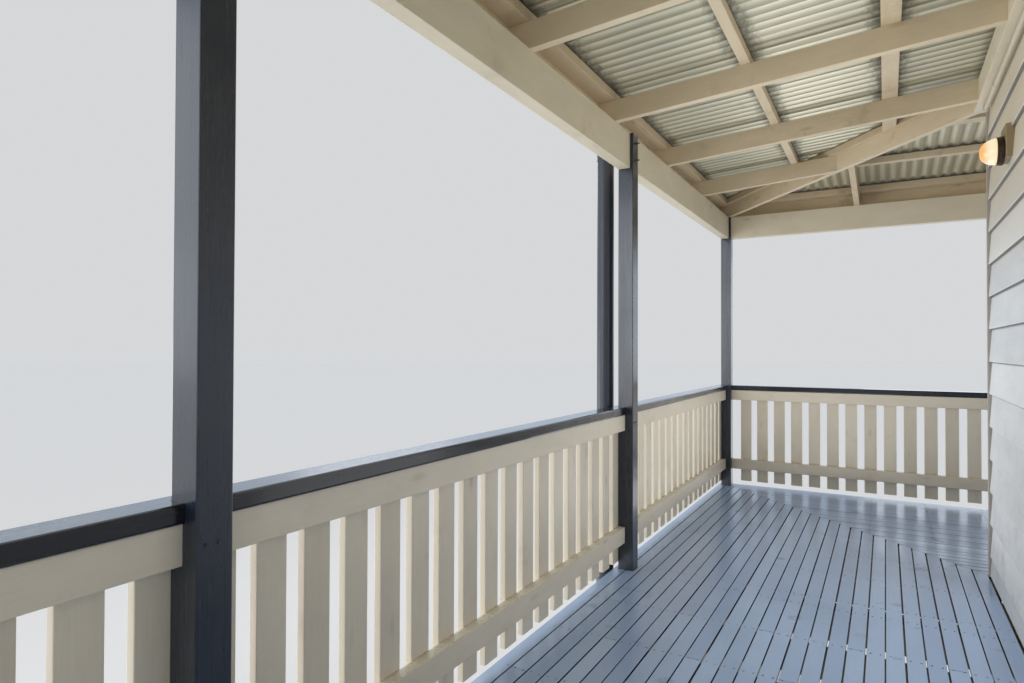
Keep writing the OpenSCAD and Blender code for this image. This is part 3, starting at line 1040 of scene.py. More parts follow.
class Finishes:
    """Keeps each finish's material, so that it is built once."""

    made: dict = {}

    @classmethod
    def of(cls, finish: Finish) -> bpy.types.Material:
        """The material of a finish.

        Args:
            finish: a finish dataclass.

        Returns:
            Its material.
        """
        if finish.name not in cls.made:
            cls.made[finish.name] = finish.material()
        return cls.made[finish.name]


class Piece:
    """Common to the sub-assemblies: dresses a finished piece and hands it to the frame."""

    def settle(self, piece: bpy.types.Object, finish: Finish, *nodes: str) -> None:
        """Gives a piece its finish and its place in the frame.

        Args:
            piece: the finished object.
            finish: a finish with a slot and a material.
            nodes: the CAD nodes that it stands for.
        """
        piece.data.materials.clear()
        piece.data.materials.append(Finishes.of(finish))
        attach(piece, "root")
        if nodes:
            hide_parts(*nodes)
        LOG.info("%s: %d faces", piece.name, len(piece.data.polygons))


def dress(name: str, finish: Finish) -> None:
    """Gives a CAD node a finish that reads only object coordinates.

    Args:
        name: the node.
        finish: the finish.
    """
    node = frame["nodes"][name]
    node.data.materials.clear()
    node.data.materials.append(Finishes.of(finish))


@dataclass
class Understructure(Piece):
    """Stumps, bearers and joists under the deck."""

    bearer_w: float = 0.075
    joist_w: float = 0.045
    joist_gap: float = 0.470
    stump: float = 0.125
    stump_ease: float = 0.004
    seam: float = 0.002

    @property
    def trimmer(self) -> float:
        """Inner end of the joists."""
        return PLAN.wall_line + self.bearer_w - self.joist_w

    def joist_places(self, arm: Arm) -> list:
        """Near faces of the joists of each bay, from post to post.

        Args:
            arm: the arm.

        Returns:
            Places along the arm, from its corner bay outwards.
        """
        places = []
        for k, (low, high) in enumerate(arm_bands(arm)):
            room = high - low - self.joist_w
            spaces = math.ceil(room / self.joist_gap)
            last = spaces if k == 0 else spaces + 1
            places += [low + n * room / spaces for n in range(last)]
        return places

    def joists(self, shape: Shape, arm: Arm) -> None:
        """Joists of one arm, those of the corner bay cut back to the mitre joist.

        Args:
            shape: what they are added to.
            arm: their arm.
        """
        p = PLAN
        back = (self.joist_w / 2 + self.seam) * DIAGONAL
        for y in self.joist_places(arm):
            mitred = y + self.joist_w > -self.trimmer - back
            size = (y, y + self.joist_w, p.joist_z, p.joist_top)
            end = Cut(-back, *size, -1.0) if mitred else Cut(self.trimmer, *size)
            shape.timber(Axis.X, [Cut(-p.post_out, *size), end], arm=arm)
        size = (p.end(arm), p.end(arm) + self.joist_w, p.joist_z, p.joist_top)
        shape.timber(Axis.X, [Cut(-p.clear, *size), Cut(self.trimmer, *size)], arm=arm)

    def stumps(self, shape: Shape) -> None:
        """A stump at the house corner and one in line with each post.

        Args:
            shape: what they are added to.
        """
        inner = PLAN.wall_line
        corner = -inner - self.stump
        rows = {Arm.LONG: [corner], Arm.SHORT: []}
        for arm in Arm:
            rows[arm] += [PLAN.post_y(arm, k) for k in range(1, PLAN.count(arm) + 1)]
            for y in rows[arm]:
                size = (inner, inner + self.stump, y, y + self.stump)
                shape.timber(Axis.Z, [Cut(0.0, *size), Cut(PLAN.bearer_z, *size)], self.stump_ease,
                             arm)

    def mitre_joist(self, shape: Shape) -> None:
        """The joist under the mitre, from the house corner to the corner post.

        Args:
            shape: what it is added to.
        """
        half = self.joist_w / 2
        size = (-half, half, PLAN.joist_z, PLAN.joist_top)
        inner = half - self.trimmer * DIAGONAL
        outer = PLAN.clear * DIAGONAL
        shape.timber(Axis.X, [Cut(inner, *size), Cut(outer, *size)], frame=MITRE_TURN)

    def build(self) -> None:
        """Builds the timbers under the deck."""
        p = PLAN
        joists, house, deck, stumps, mitre = (Shape() for _ in range(5))
        inner = (p.wall_line, p.wall_line + self.bearer_w, p.bearer_z, p.joist_z)
        trimmer = (self.trimmer, self.trimmer + self.joist_w, p.joist_z, p.joist_top)
        outer = (-p.leaf_line, -p.leaf_line + self.bearer_w, p.bearer_z, p.joist_z)
        for arm in Arm:
            self.joists(joists, arm)
            for shape, size in ((house, inner), (house, trimmer), (deck, outer)):
                shape.runner(arm, size, self.seam)
        self.stumps(stumps)
        self.mitre_joist(mitre)
        for shape, piece, node in ((joists, "deck_joist_timbers", "deck_joists"),
                                   (house, "house_bearer_timbers", "house_bearers"),
                                   (deck, "deck_bearer_timbers", "deck_bearers"),
                                   (stumps, "stump_timbers", "house_stumps"),
                                   (mitre, "mitre_joist_timber", "mitre_joist")):
            self.settle(shape.build(piece), RAW, node)


@dataclass
class Deck(Piece):
    """Deck boards along each arm, mitred at the corner, with the screws that hold them."""

    under: Understructure
    board: float = 0.0712
    gap: float = 0.0058
    wall_gap: float = 0.008
    slack: float = 0.002
    mitre_gap: float = 0.002
    joint_gap: float = 0.003
    sway: float = 0.0012
    ease: float = 0.0025
    screw_in: float = 0.016
    screw_r: float = 0.0045
    screw_t: float = 0.0006
    screw_sway: float = 0.004
    screw_clear: float = 0.020
    edge_t: float = 0.025

    @property
    def step(self) -> float:
        """Distance from one board to the next."""
        return self.board + self.gap

    @property
    def count(self) -> int:
        """Boards across an arm."""
        return math.ceil((PLAN.post_out - self.wall_gap) / self.step)

    def joint(self, arm: Arm, k: int) -> float:
        """Where board number k is joined, over the middle of a joist of the second bay.

        Args:
            arm: the arm.
            k: the board's number, counted from the wall.

        Returns:
            The joint's place along the arm.
        """
        low, high = arm_bands(arm)[1]
        room = high - low - self.under.joist_w
        spaces = math.ceil(room / self.under.joist_gap)
        n = (3 * k) % (spaces - 1) + 1
        return low + n * room / spaces + self.under.joist_w / 2

    def notch(self, x0: float, x1: float) -> tuple:
        """The board's edges beside a post, where it is cut round it.

        Args:
            x0: the board's outer edge.
            x1: the board's inner edge.

        Returns:
            Its outer and inner edge there, unchanged where it misses the posts.
        """
        outer, inner = -PLAN.post_out - self.slack, -PLAN.clear + self.slack
        if x1 <= outer or x0 >= inner:
            return x0, x1
        return (x0, outer) if x0 < outer else (inner, x1)

    def boards(self, shape: Shape, arm: Arm) -> None:
        """The boards of one arm, each in two lengths and notched round the posts.

        Args:
            shape: what they are added to.
            arm: their arm.
        """
        p = PLAN
        for k in range(self.count):
            shift, lift = RNG.uniform(-self.sway, self.sway, 2)
            x0 = -self.wall_gap - self.board - k * self.step + shift
            x1 = x0 + self.board
            n0, n1 = self.notch(x0, x1)
            z0, z1 = p.joist_top + lift * 0.5, p.deck + lift * 0.5
            full, narrow = (x0, x1, z0, z1), (n0, n1, z0, z1)
            mitre = -self.mitre_gap * DIAGONAL
            cuts = [Cut(p.end(arm), *narrow)]
            for m in range(p.count(arm), 0, -1):
                low = p.post_y(arm, m) + p.post + self.slack
                high = p.post_y(arm, m - 1) - self.slack
                cuts += [Cut(low, *narrow), Cut(low, *full), Cut(high, *full), Cut(high, *narrow)]
            if n0 == x0 and n1 < x1:
                cuts.append(Cut(mitre, *narrow, -1.0))
            else:
                cuts = cuts[:-2] + [Cut(mitre, *full, -1.0)]
            if narrow == full:
                cuts = [cuts[0], cuts[-1]]
            joint = self.joint(arm, k)
            before = [c for c in cuts if c.at < joint and not c.lean_a]
            after = [c for c in cuts if c.at > joint or c.lean_a]
            half = self.joint_gap / 2
            shape.timber(Axis.Y, before + [Cut(joint - half, *full)], self.ease, arm)
            shape.timber(Axis.Y, [Cut(joint + half, *full)] + after, self.ease, arm)

    def screws(self, shape: Shape, arm: Arm) -> None:
        """Two screw heads in each board over each joist, left out past the mitre.

        Args:
            shape: what they are added to.
            arm: their arm.
        """
        k = np.arange(self.count)
        x0 = -self.wall_gap - self.board - k * self.step
        x = np.concatenate([x0 + self.screw_in, x0 + self.board - self.screw_in])
        y = np.array(self.under.joist_places(arm)) + self.under.joist_w / 2
        x, y = grid(x, y)
        y = y + RNG.uniform(-self.screw_sway, self.screw_sway, y.shape)
        kept = (x + y < -self.screw_clear) & (x > -PLAN.post_out)
        places = np.stack([x, y, np.full_like(x, PLAN.deck)], -1)[kept]
        shape.studs(to_arm(places, arm), UP, self.screw_r, self.screw_t)

    def build(self) -> None:
        """Builds the boards, their screws and the boards that close the deck's edge."""
        edge, screws = Shape(), Shape()
        for arm in Arm:
            boards = Shape()
            self.boards(boards, arm)
            self.screws(screws, arm)
            first = across_at(arm, -self.wall_gap + self.gap / 2)
            finish = DeckPaint(f"{arm.value}_deck_gloss", "deck_paint", arm.across, first,
                               self.step)
            self.settle(boards.build(f"{arm.value}_deck_planks"), finish,
                        f"{arm.value}_deck_boards")
            size = (-PLAN.post_out - self.edge_t, -PLAN.post_out, PLAN.joist_z, PLAN.joist_top)
            edge.runner(arm, size, self.mitre_gap)
        self.settle(edge.build("deck_edge_planks"), DARK, "deck_edge_boards")
        self.settle(screws.build("deck_screws"), SCREW)


@dataclass
class Posts(Piece):
    """Square posts with a seat for the beam and a housing for the bearer, and their bolts."""

    ease: float = 0.003
    bolt_r: float = 0.005
    bolt_in: float = 0.055
    bolt_t: float = 0.026
    nut_r: float = 0.0095
    nut_t: float = 0.006
    head_t: float = 0.005
    rail_lift: float = 0.905
    rail_bolts: tuple = (-0.0225, 0.0105)

    def post(self, name: str, arm: Arm, y0: float, corner: bool) -> None:
        """One post.

        Args:
            name: its CAD node.
            arm: its arm.
            y0: its near face.
            corner: whether it carries both beams.
        """
        p = PLAN
        y1 = y0 + p.post
        side = y0 + p.leaf if corner else y0
        top = y0 + p.leaf if corner else y1
        whole = (-p.post_out, -p.clear, y0, y1)
        housed = (-p.post_out, -p.leaf_line, side, y1)
        leaf = (-p.leaf_line, -p.clear, y0, top)
        cuts = [Cut(0.0, *whole), Cut(p.bearer_z, *whole), Cut(p.bearer_z, *housed),
                Cut(p.joist_z, *housed), Cut(p.joist_z, *whole), Cut(p.beam_z, *whole),
                Cut(p.beam_z, *leaf), Cut(p.beam_top, *leaf)]
        shape = Shape()
        shape.timber(Axis.Z, cuts, self.ease, arm)
        self.settle(shape.build(f"{name}_timber"), DARK, name)

    def bolts(self) -> None:
        """Bolt ends with their nuts on the leaves, and pairs of heads that hold the rails."""
        p = PLAN
        for arm in Arm:
            rows, rails = [], []
            for k in range(1, p.count(arm) + 1):
                middle = p.post_y(arm, k) + p.post / 2
                for height in (p.beam_z + self.bolt_in, p.beam_top - self.bolt_in):
                    rows.append((-p.clear, middle, height))
                for off in self.rail_bolts:
                    rails.append((-p.clear, middle + off, p.deck + self.rail_lift))
            normal = (1, 0, 0) if arm is Arm.LONG else (0, -1, 0)
            places = to_arm(np.array(rows), arm)
            shape = Shape()
            shape.studs(places, normal, self.nut_r, self.nut_t, 6)
            shape.studs(places, normal, self.bolt_r, self.bolt_t, 10)
            shape.studs(to_arm(np.array(rails), arm), normal, self.bolt_r, self.head_t)
            self.settle(shape.build(f"{arm.value}_post_bolts"), BOLT)

    def build(self) -> None:
        """Builds the posts of both arms."""
        p = PLAN
        self.post("corner_post", Arm.LONG, p.clear, True)
        names = {Arm.LONG: ("second_post", "third_post", "long_end_post"),
                 Arm.SHORT: ("short_middle_post", "short_end_post")}
        for arm, row in names.items():
            for k, name in enumerate(row, 1):
                self.post(name, arm, p.post_y(arm, k), False)
        self.bolts()


@dataclass
class Beams(Piece):
    """The veranda beams in their seats on the posts, mitred over the corner post."""

    ease: float = 0.003

    def build(self) -> None:
        """Builds one beam to an arm."""
        p = PLAN
        for arm in Arm:
            shape = Shape()
            size = (-p.post_out, -p.leaf_line, p.beam_z, p.beam_top)
            shape.runner(arm, size, 0.0, self.ease)
            self.settle(shape.build(f"{arm.value}_beam_timber"), CREAM, f"{arm.value}_beam")


@dataclass
class Balustrade(Piece):
    """Rails between the posts, pickets on their outer faces and handrails over them."""

    rail_set: float = 0.050
    rail_t: float = 0.045
    rail_ease: float = 0.003
    top: float = 0.953
    foot: float = 0.045
    picket_w: float = 0.099
    picket_t: float = 0.029
    picket_ease: float = 0.0025
    pickets: tuple = (18, 19)
    first: tuple = (0.080, 0.175)
    cap_set: float = 0.040
    cap_w: float = 0.110
    cap_t: float = 0.047
    cap_ease: float = 0.007
    seam: float = 0.002
    sway: float = 0.0015
    foot_sway: float = 0.002

    def panel(self, arm: Arm, k: int) -> None:
        """The rails and pickets of bay number k, counted from the corner.

        Args:
            arm: its arm.
            k: the bay's number.
        """
        p = PLAN
        low, high = arm_bands(arm)[k - 1]
        rail_in = p.clear + self.rail_set
        rail_out = rail_in + self.rail_t
        shape = Shape()
        for z in (p.deck + self.top - p.rail_d, p.deck + p.low_rail):
            size = (-rail_out, -rail_in, z, z + p.rail_d)
            shape.timber(Axis.Y, [Cut(low, *size), Cut(high, *size)], self.rail_ease, arm)
        step = p.bay(arm) / self.pickets[arm.index]
        first = self.first[arm.index]
        middle = high + p.post / 2 - first
        for n in range(math.floor((p.bay(arm) - first - self.picket_w / 2) / step) + 1):
            y = middle - n * step + RNG.uniform(-self.sway, self.sway)
            size = (-rail_out - self.picket_t, -rail_out, y - self.picket_w / 2,
                    y + self.picket_w / 2)
            foot = p.deck + self.foot + RNG.uniform(-self.foot_sway, self.foot_sway)
            shape.timber(Axis.Z, [Cut(foot, *size), Cut(p.deck + self.top, *size)],
                         self.picket_ease, arm)
        self.settle(shape.build(f"{arm.value}_pickets_{k}"), RAIL, f"{arm.value}_panel_{k}")

    def handrail(self, shape: Shape, arm: Arm, k: int) -> None:
        """The handrail of bay number k, notched round the posts at its ends.

        Args:
            shape: what it is added to.
            arm: its arm.
            k: the bay's number.
        """
        p = PLAN
        inner, outer = p.clear + self.cap_set, p.clear + self.cap_set + self.cap_w
        z0, z1 = p.deck + self.top, p.deck + self.top + self.cap_t
        low, high = arm_bands(arm)[k - 1]
        full, narrow = (-outer, -inner, z0, z1), (-outer, -p.post_out, z0, z1)
        start = low - p.post if k == p.count(arm) else low - p.post / 2
        cuts = [Cut(start, *narrow), Cut(low, *narrow), Cut(low, *full), Cut(high, *full),
                Cut(high, *narrow)]
        if k == 1:
            cuts.append(Cut(-self.seam / DIAGONAL, *narrow, -1.0))
        else:
            cuts.append(Cut(high + p.post / 2 - self.seam, *narrow))
        shape.timber(Axis.Y, cuts, self.cap_ease, arm)

    def build(self) -> None:
        """Builds the panels and handrails of both arms."""
        for arm in Arm:
            rail = Shape()
            for k in range(1, PLAN.count(arm) + 1):
                self.panel(arm, k)
                self.handrail(rail, arm, k)
            self.settle(rail.build(f"{arm.value}_handrail_timbers"), CAP,
                        f"{arm.value}_handrails")


@dataclass
class RoofFrame(Piece):
    """Rafters, hip, battens, ledgers and eaves boards."""

    tail: float = 0.030
    first: tuple = (1.030, 1.120)
    gap: float = 1.050
    wide: float = 0.085
    eaves: float = 0.100
    shaded: float = 1.7
    batten_in: tuple = (0.682, 1.331)
    last_batten: float = 0.020
    hip_band: float = 0.062
    fascia_t: float = 0.020
    fascia_d: float = 0.180
    fascia_drop: float = 0.004
    seam: float = 0.002
    mitre: float = 0.0014
    step: float = 0.0001
    ease: float = 0.003

    @property
    def base(self) -> float:
        """Height of the rafters' underside, carried on to the wall face."""
        return float(PLAN.under(0.0))

    def rafter_lines(self, arm: Arm) -> list:
        """Middles of an arm's rafters, the first one a jack.

        Args:
            arm: the arm.

        Returns:
            Places along the arm, from the corner outwards.
        """
        p = PLAN
        lines = [p.clear - self.first[arm.index]]
        while lines[-1] - self.gap >= p.end(arm) + 2 * p.rafter_w:
            lines.append(lines[-1] - self.gap)
        return lines + [p.end(arm) + p.rafter_w / 2]

    def rafters(self, shape: Shape, arm: Arm) -> None:
        """Rafters of one arm, seated on the beam and cut plumb at both ends.

        Args:
            shape: what they are added to.
            arm: their arm.
        """
        p = PLAN
        outer = -p.post_out - self.tail
        for n, y in enumerate(self.rafter_lines(arm)):
            size = (y - p.rafter_w / 2, y + p.rafter_w / 2, self.base, self.base + p.rafter_d)
            end = Cut(-p.ledger_out, *size)
            if n == 0:
                end = Cut(-p.rafter_w / DIAGONAL, *size, -1.0)
            cuts = [Cut(outer, *size), Cut(-p.leaf_line - self.step, *size),
                    Cut(-p.leaf_line, *size), end]
            shape.timber(Axis.X, cuts, arm=arm, slope=p.fall, seat=p.beam_top)

    def battens(self, shape: Shape, arm: Arm) -> None:
        """Battens along one arm, the broad one nearest to the house.

        Args:
            shape: what they are added to.
            arm: their arm.
        """
        p = PLAN
        lines = ((-p.post_out - self.tail, self.eaves, self.shaded),
                 (-p.clear + self.batten_in[0], p.batten, None),
                 (-p.clear + self.batten_in[1], self.wide, None),
                 (self.last_batten, p.batten, None))
        back = (self.hip_band + self.seam) * DIAGONAL
        for x, width, tone in lines:
            size = (x, x + width, self.base + p.rafter_d, self.base + p.rafter_d + p.batten)
            shape.runner(arm, size, back, slope=p.fall, tone=tone)

    def hip_batten(self, shape: Shape, arm: Arm) -> None:
        """The flat batten on one side of the hip: a band sheared along the mitre.

        Args:
            shape: what it is added to.
            arm: its arm.
        """
        p = PLAN
        shear = np.array([[1.0, 0.0, 0.0], [-1.0, 1.0, 0.0], [0.0, 0.0, 1.0]])
        size = (-self.hip_band * DIAGONAL, -self.mitre, self.base + p.rafter_d,
                self.base + p.rafter_d + p.batten)
        cuts = [Cut(-p.post_out - self.tail, *size), Cut(-p.ledger_out / 2, *size)]
        shape.timber(Axis.X, cuts, arm=arm, slope=p.fall, frame=shear)

    def hip(self, shape: Shape) -> None:
        """The hip rafter, turned to the mitre and dropped so its edges lie in both slopes.

        Args:
            shape: what it is added to.
        """
        p = PLAN
        half = p.rafter_w / 2
        drop = p.fall * half / DIAGONAL
        size = (-half, half, self.base - drop, self.base - drop + p.rafter_d)
        inner = p.ledger_out * DIAGONAL - half
        seat = p.leaf_line * DIAGONAL + half
        outer = (p.post_out + self.tail) * DIAGONAL - half
        slope = -p.fall / DIAGONAL
        beyond = (-half, half, p.beam_top - slope * outer, self.base - drop + p.rafter_d)
        for cuts in ([Cut(inner, *size), Cut(seat, *size)],
                     [Cut(seat, *beyond), Cut(outer, *beyond)]):
            shape.timber(Axis.X, cuts, slope=slope, frame=MITRE_TURN)

    def build(self) -> None:
        """Builds the roof timbers of both arms."""
        p = PLAN
        rafters, battens, sides, hip, ledgers, boards = (Shape() for _ in range(6))
        fascia_in = p.post_out + self.tail
        top = float(p.under(-fascia_in)) + p.rafter_d + p.batten - self.fascia_drop
        ledger = (-p.ledger_out, p.wall_line, p.ledger_z, p.ledger_z + p.rafter_d)
        board = (-fascia_in - self.fascia_t, -fascia_in, top - self.fascia_d, top)
        for arm in Arm:
            self.rafters(rafters, arm)
            self.battens(battens, arm)
            self.hip_batten(sides, arm)
            for shape, size in ((ledgers, ledger), (boards, board)):
                shape.runner(arm, size, self.mitre, self.ease)
        self.hip(hip)
        for shape, piece, finish, node in (
                (rafters, "rafter_timbers", ROOF_TIMBER, "rafters"),
                (battens, "batten_timbers", ROOF_TIMBER, "roof_battens"),
                (sides, "hip_batten_timbers", ROOF_TIMBER, "hip_battens"),
                (hip, "hip_rafter_timber", ROOF_TIMBER, "hip_rafter"),
                (ledgers, "ledger_timbers", CREAM, "ledgers"),
                (boards, "eaves_boards", ROOF_TIMBER, "eaves_fascias")):
            self.settle(shape.build(piece), finish, node)


@dataclass
class RoofSkin(Piece):
    """Corrugated sheets cut back at the hip, the capping over it and the screws.

    outer and inner are the sheets' ends across the arm, rise the battens' top above the rafters'
    underside, raised the lift of every second sheet, and lines and halves the battens' middles
    and half widths.
    """

    wave: float = 0.0762
    depth: float = 0.016
    sheet_t: float = 0.0010
    waves: int = 10
    lap: int = 1
    raised: float = 0.0018
    outer: float = 2.075
    inner: float = 0.105
    rise: float = 0.175
    cut_back: float = 0.008
    cap_lift: float = 0.002
    cap_t: float = 0.0015
    cap_back: float = 0.010
    roll: float = 0.016
    wing: float = 0.130
    samples: int = 14
    rows: int = 7
    screw_r: float = 0.008
    screw_t: float = 0.006
    eaves_clear: float = 0.050
    hip_clear: float = 0.160
    lines: tuple = (-1.960, -1.178, -0.5115, 0.045)
    halves: tuple = (0.050, 0.025, 0.0425, 0.025)

    def height(self, y: np.ndarray, start: float) -> np.ndarray:
        """Height of the wave over its trough: half the depth times one less the cosine."""
        return self.depth / 2 * (1.0 - np.cos(2.0 * math.pi * (y - start) / self.wave))

    def sheet(self, shape: Shape, arm: Arm, k: int, count: int) -> None:
        """One sheet, a closed skin of two waves a thickness apart.

        Args:
            shape: what it is added to.
            arm: its arm.
            k: its number from the arm's end.
            count: the number of sheets on the arm.
        """
        start = PLAN.end(arm) + k * self.waves * self.wave
        waves = self.waves + (0 if k == count - 1 else self.lap)
        limit = self.outer - self.cut_back * DIAGONAL
        y = np.linspace(start, start + waves * self.wave, waves * self.samples + 1)
        y = np.minimum(y, limit)
        upper = np.minimum(self.inner, -y - self.cut_back * DIAGONAL)
        share = np.linspace(0.0, 1.0, self.rows)[:, None]
        x = -self.outer + share * (upper + self.outer)
        lift = self.rise + (k % 2) * self.raised + self.height(y, PLAN.end(arm))
        z = PLAN.under(x) + lift
        below = np.stack([x, y + 0 * x, z], -1)
        above = below + np.array([0.0, 0.0, self.sheet_t])
        shape.rings(np.concatenate([below, above[:, ::-1]], axis=1), arm)

    def capping(self) -> None:
        """The hip capping: two flat wings and a half round roll, carried along the hip."""
        over = self.rise + self.depth + self.raised + 2 * self.sheet_t + self.cap_lift
        angle = np.linspace(0.0, math.pi, 13)[1:-1]
        t = np.concatenate([[-self.wing, -self.roll], -self.roll * np.cos(angle),
                            [self.roll, self.wing]])
        lift = np.concatenate([[0.0, 0.0], self.roll * np.sin(angle), [0.0, 0.0]])
        z = over + lift - PLAN.fall * np.abs(t) / DIAGONAL
        ring_t = np.concatenate([t, t[::-1]])
        ring_z = np.concatenate([z, z[::-1] + self.cap_t])
        ends = np.array([-self.inner * DIAGONAL + self.wing, self.outer * DIAGONAL - self.cap_back])
        s = ends[:, None] - np.abs(ring_t)[None, :]
        base = PLAN.under(0.0) - PLAN.fall * s / DIAGONAL
        points = np.stack([s, ring_t + 0 * s, base + ring_z], -1) @ MITRE_TURN.T
        shape = Shape()
        shape.rings(points)
        self.settle(shape.build("hip_cap_metal", 40.0), CAPPING, "hip_capping")

    def screws(self, shape: Shape, arm: Arm) -> None:
        """Screws through every second crest over each batten.

        Args:
            shape: what they are added to.
            arm: their arm.
        """
        first = PLAN.end(arm) + self.wave / 2
        x, y = grid(np.array(self.lines),
                    np.arange(first, self.outer - self.eaves_clear, 2 * self.wave))
        top = PLAN.under(x) + self.rise + self.depth + self.raised + self.sheet_t
        places = np.stack([x, y, top], -1)[x + y < -self.hip_clear]
        shape.studs(to_arm(places, arm), UP, self.screw_r, self.screw_t, 6)

    def build(self) -> None:
        """Builds the roof's skin."""
        screws = Shape()
        for arm in Arm:
            length = self.outer - PLAN.end(arm)
            count = math.ceil(length / (self.waves * self.wave))
            shape = Shape()
            for k in range(count):
                self.sheet(shape, arm, k, count)
            self.screws(screws, arm)
            lines = tuple((across_at(arm, line), half)
                          for line, half in zip(self.lines, self.halves))
            finish = RoofSheet(f"{arm.value}_roof_steel", "sheet_metal", arm.across, lines,
                               arm.along, along_at(arm, PLAN.end(arm)), self.wave)
            self.settle(shape.build(f"{arm.value}_sheets", 50.0), finish,
                        f"{arm.value}_roof_sheets")
        self.capping()
        self.settle(screws.build("roof_screws"), GUTTER)


@dataclass
class RainGoods(Piece):
    """Eaves gutters with their rolled fronts, and the downpipe with its straps.

    back is the gutters' back face, lift their top above the rafters' top at the beam, front the
    radius of the front as a share of the depth, and edge_out the deck edge's outer face.
    """

    back: float = 2.030
    width: float = 0.115
    depth: float = 0.095
    thick: float = 0.002
    lift: float = 0.010
    front: float = 0.6
    seam: float = 0.0007
    bead_r: float = 0.005
    bead_in: float = 0.006
    bead_drop: float = 0.004
    pipe_d: float = 0.106
    pipe_run: float = 2.845
    pipe_t: float = 0.003
    strap_t: float = 0.003
    strap_w: float = 0.040
    strap_bite: float = 0.001
    strap_ease: float = 0.0005
    straps: tuple = (0.040, 0.080)
    edge_out: float = 2.005

    @property
    def top(self) -> float:
        """Height of the gutter's top."""
        return PLAN.beam_top + PLAN.rafter_d + self.lift

    def outline(self, inset: float) -> np.ndarray:
        """Half of the gutter's section: back, floor and a quarter round front.

        Args:
            inset: how far it lies inside the outer face.

        Returns:
            Points from the back's top to the front's top, each a distance out and a height.
        """
        radius = self.front * self.depth
        turn = np.radians(np.linspace(-90.0, 0.0, 13))
        x = self.width - radius + (radius - inset) * np.cos(turn)
        z = radius + (radius - inset) * np.sin(turn)
        x = np.concatenate([[inset, inset], x, [self.width - inset]])
        z = np.concatenate([[self.depth, inset], z, [self.depth]])
        return np.stack([x, z], -1)

    def run(self, shape: Shape, arm: Arm, x: np.ndarray, z: np.ndarray) -> None:
        """Carries a section along an arm, from its end to the mitre, where Y is -X.

        Args:
            shape: what it is added to.
            arm: its arm.
            x: the section's places across the arm.
            z: the section's heights.
        """
        ends = (np.full_like(x, PLAN.end(arm)), -x - self.seam)
        shape.rings(np.stack([np.stack([x, y, z], -1) for y in ends]), arm)

    def gutter(self, arm: Arm) -> None:
        """One arm's gutter, mitred at the corner and stopped at its end.

        Args:
            arm: its arm.
        """
        outer, inner = self.outline(0.0), self.outline(self.thick)
        section = np.concatenate([outer, inner[::-1]])
        x = -self.back - section[:, 0]
        z = self.top - self.depth + section[:, 1]
        shape = Shape()
        self.run(shape, arm, x, z)
        turn = full_turn(16)
        self.run(shape, arm, -self.back - self.width + self.bead_in + self.bead_r * np.cos(turn),
                 self.top - self.bead_drop + self.bead_r * np.sin(turn))
        x = -self.back - outer[:, 0]
        z = self.top - self.depth + outer[:, 1]
        ends = (PLAN.end(arm), PLAN.end(arm) + self.thick)
        shape.rings(np.stack([np.stack([x, np.full_like(x, y), z], -1) for y in ends]), arm)
        self.settle(shape.build(f"{arm.value}_gutter_metal", 35.0), GUTTER, f"{arm.value}_gutter")

    def tube(self, shape: Shape, x: float, y: float, radius: float, z0: float, z1: float,
             wall: float) -> None:
        """An upright round tube, whose section goes up its outside and down its inside.

        Args:
            shape: what it is added to.
            x: its middle across the arm.
            y: its middle along the arm.
            radius: its outer radius.
            z0: its foot.
            z1: its top.
            wall: the thickness of its wall.
        """
        turn = full_turn(48)
        rims = [(radius, z0), (radius, z1), (radius - wall, z1), (radius - wall, z0)]
        rings = [np.stack([x + r * np.cos(turn), y + r * np.sin(turn), np.full_like(turn, z)], -1)
                 for r, z in rims]
        shape.rings(np.stack(rings), ends=False, loop=True)

    def pipe(self) -> None:
        """The downpipe from the gutter to the ground, with a strap to the beam and the deck."""
        p = PLAN
        radius = self.pipe_d / 2
        x = -self.back - self.width + radius + self.strap_t
        y = p.clear - self.pipe_run
        shape = Shape()
        self.tube(shape, x, y, radius, 0.0, self.top - self.depth, self.pipe_t)
        low, high = self.straps
        for z, reach in ((p.joist_z + low, self.edge_out), (p.beam_z + high, p.post_out)):
            top = z + self.strap_w
            self.tube(shape, x, y, radius + self.strap_t, z, top, self.strap_t + self.strap_bite)
            for side in (-1, 1):
                middle = y + side * radius * 0.5
                size = (middle - self.thick, middle + self.thick, z, top)
                shape.timber(Axis.X, [Cut(x + radius * 0.8, *size), Cut(-reach, *size)],
                             self.strap_ease)
        self.settle(shape.build("downpipe_metal", 35.0), PIPE, "downpipe")

    def build(self) -> None:
        """Builds the gutters and the downpipe."""
        for arm in Arm:
            self.gutter(arm)
        self.pipe()


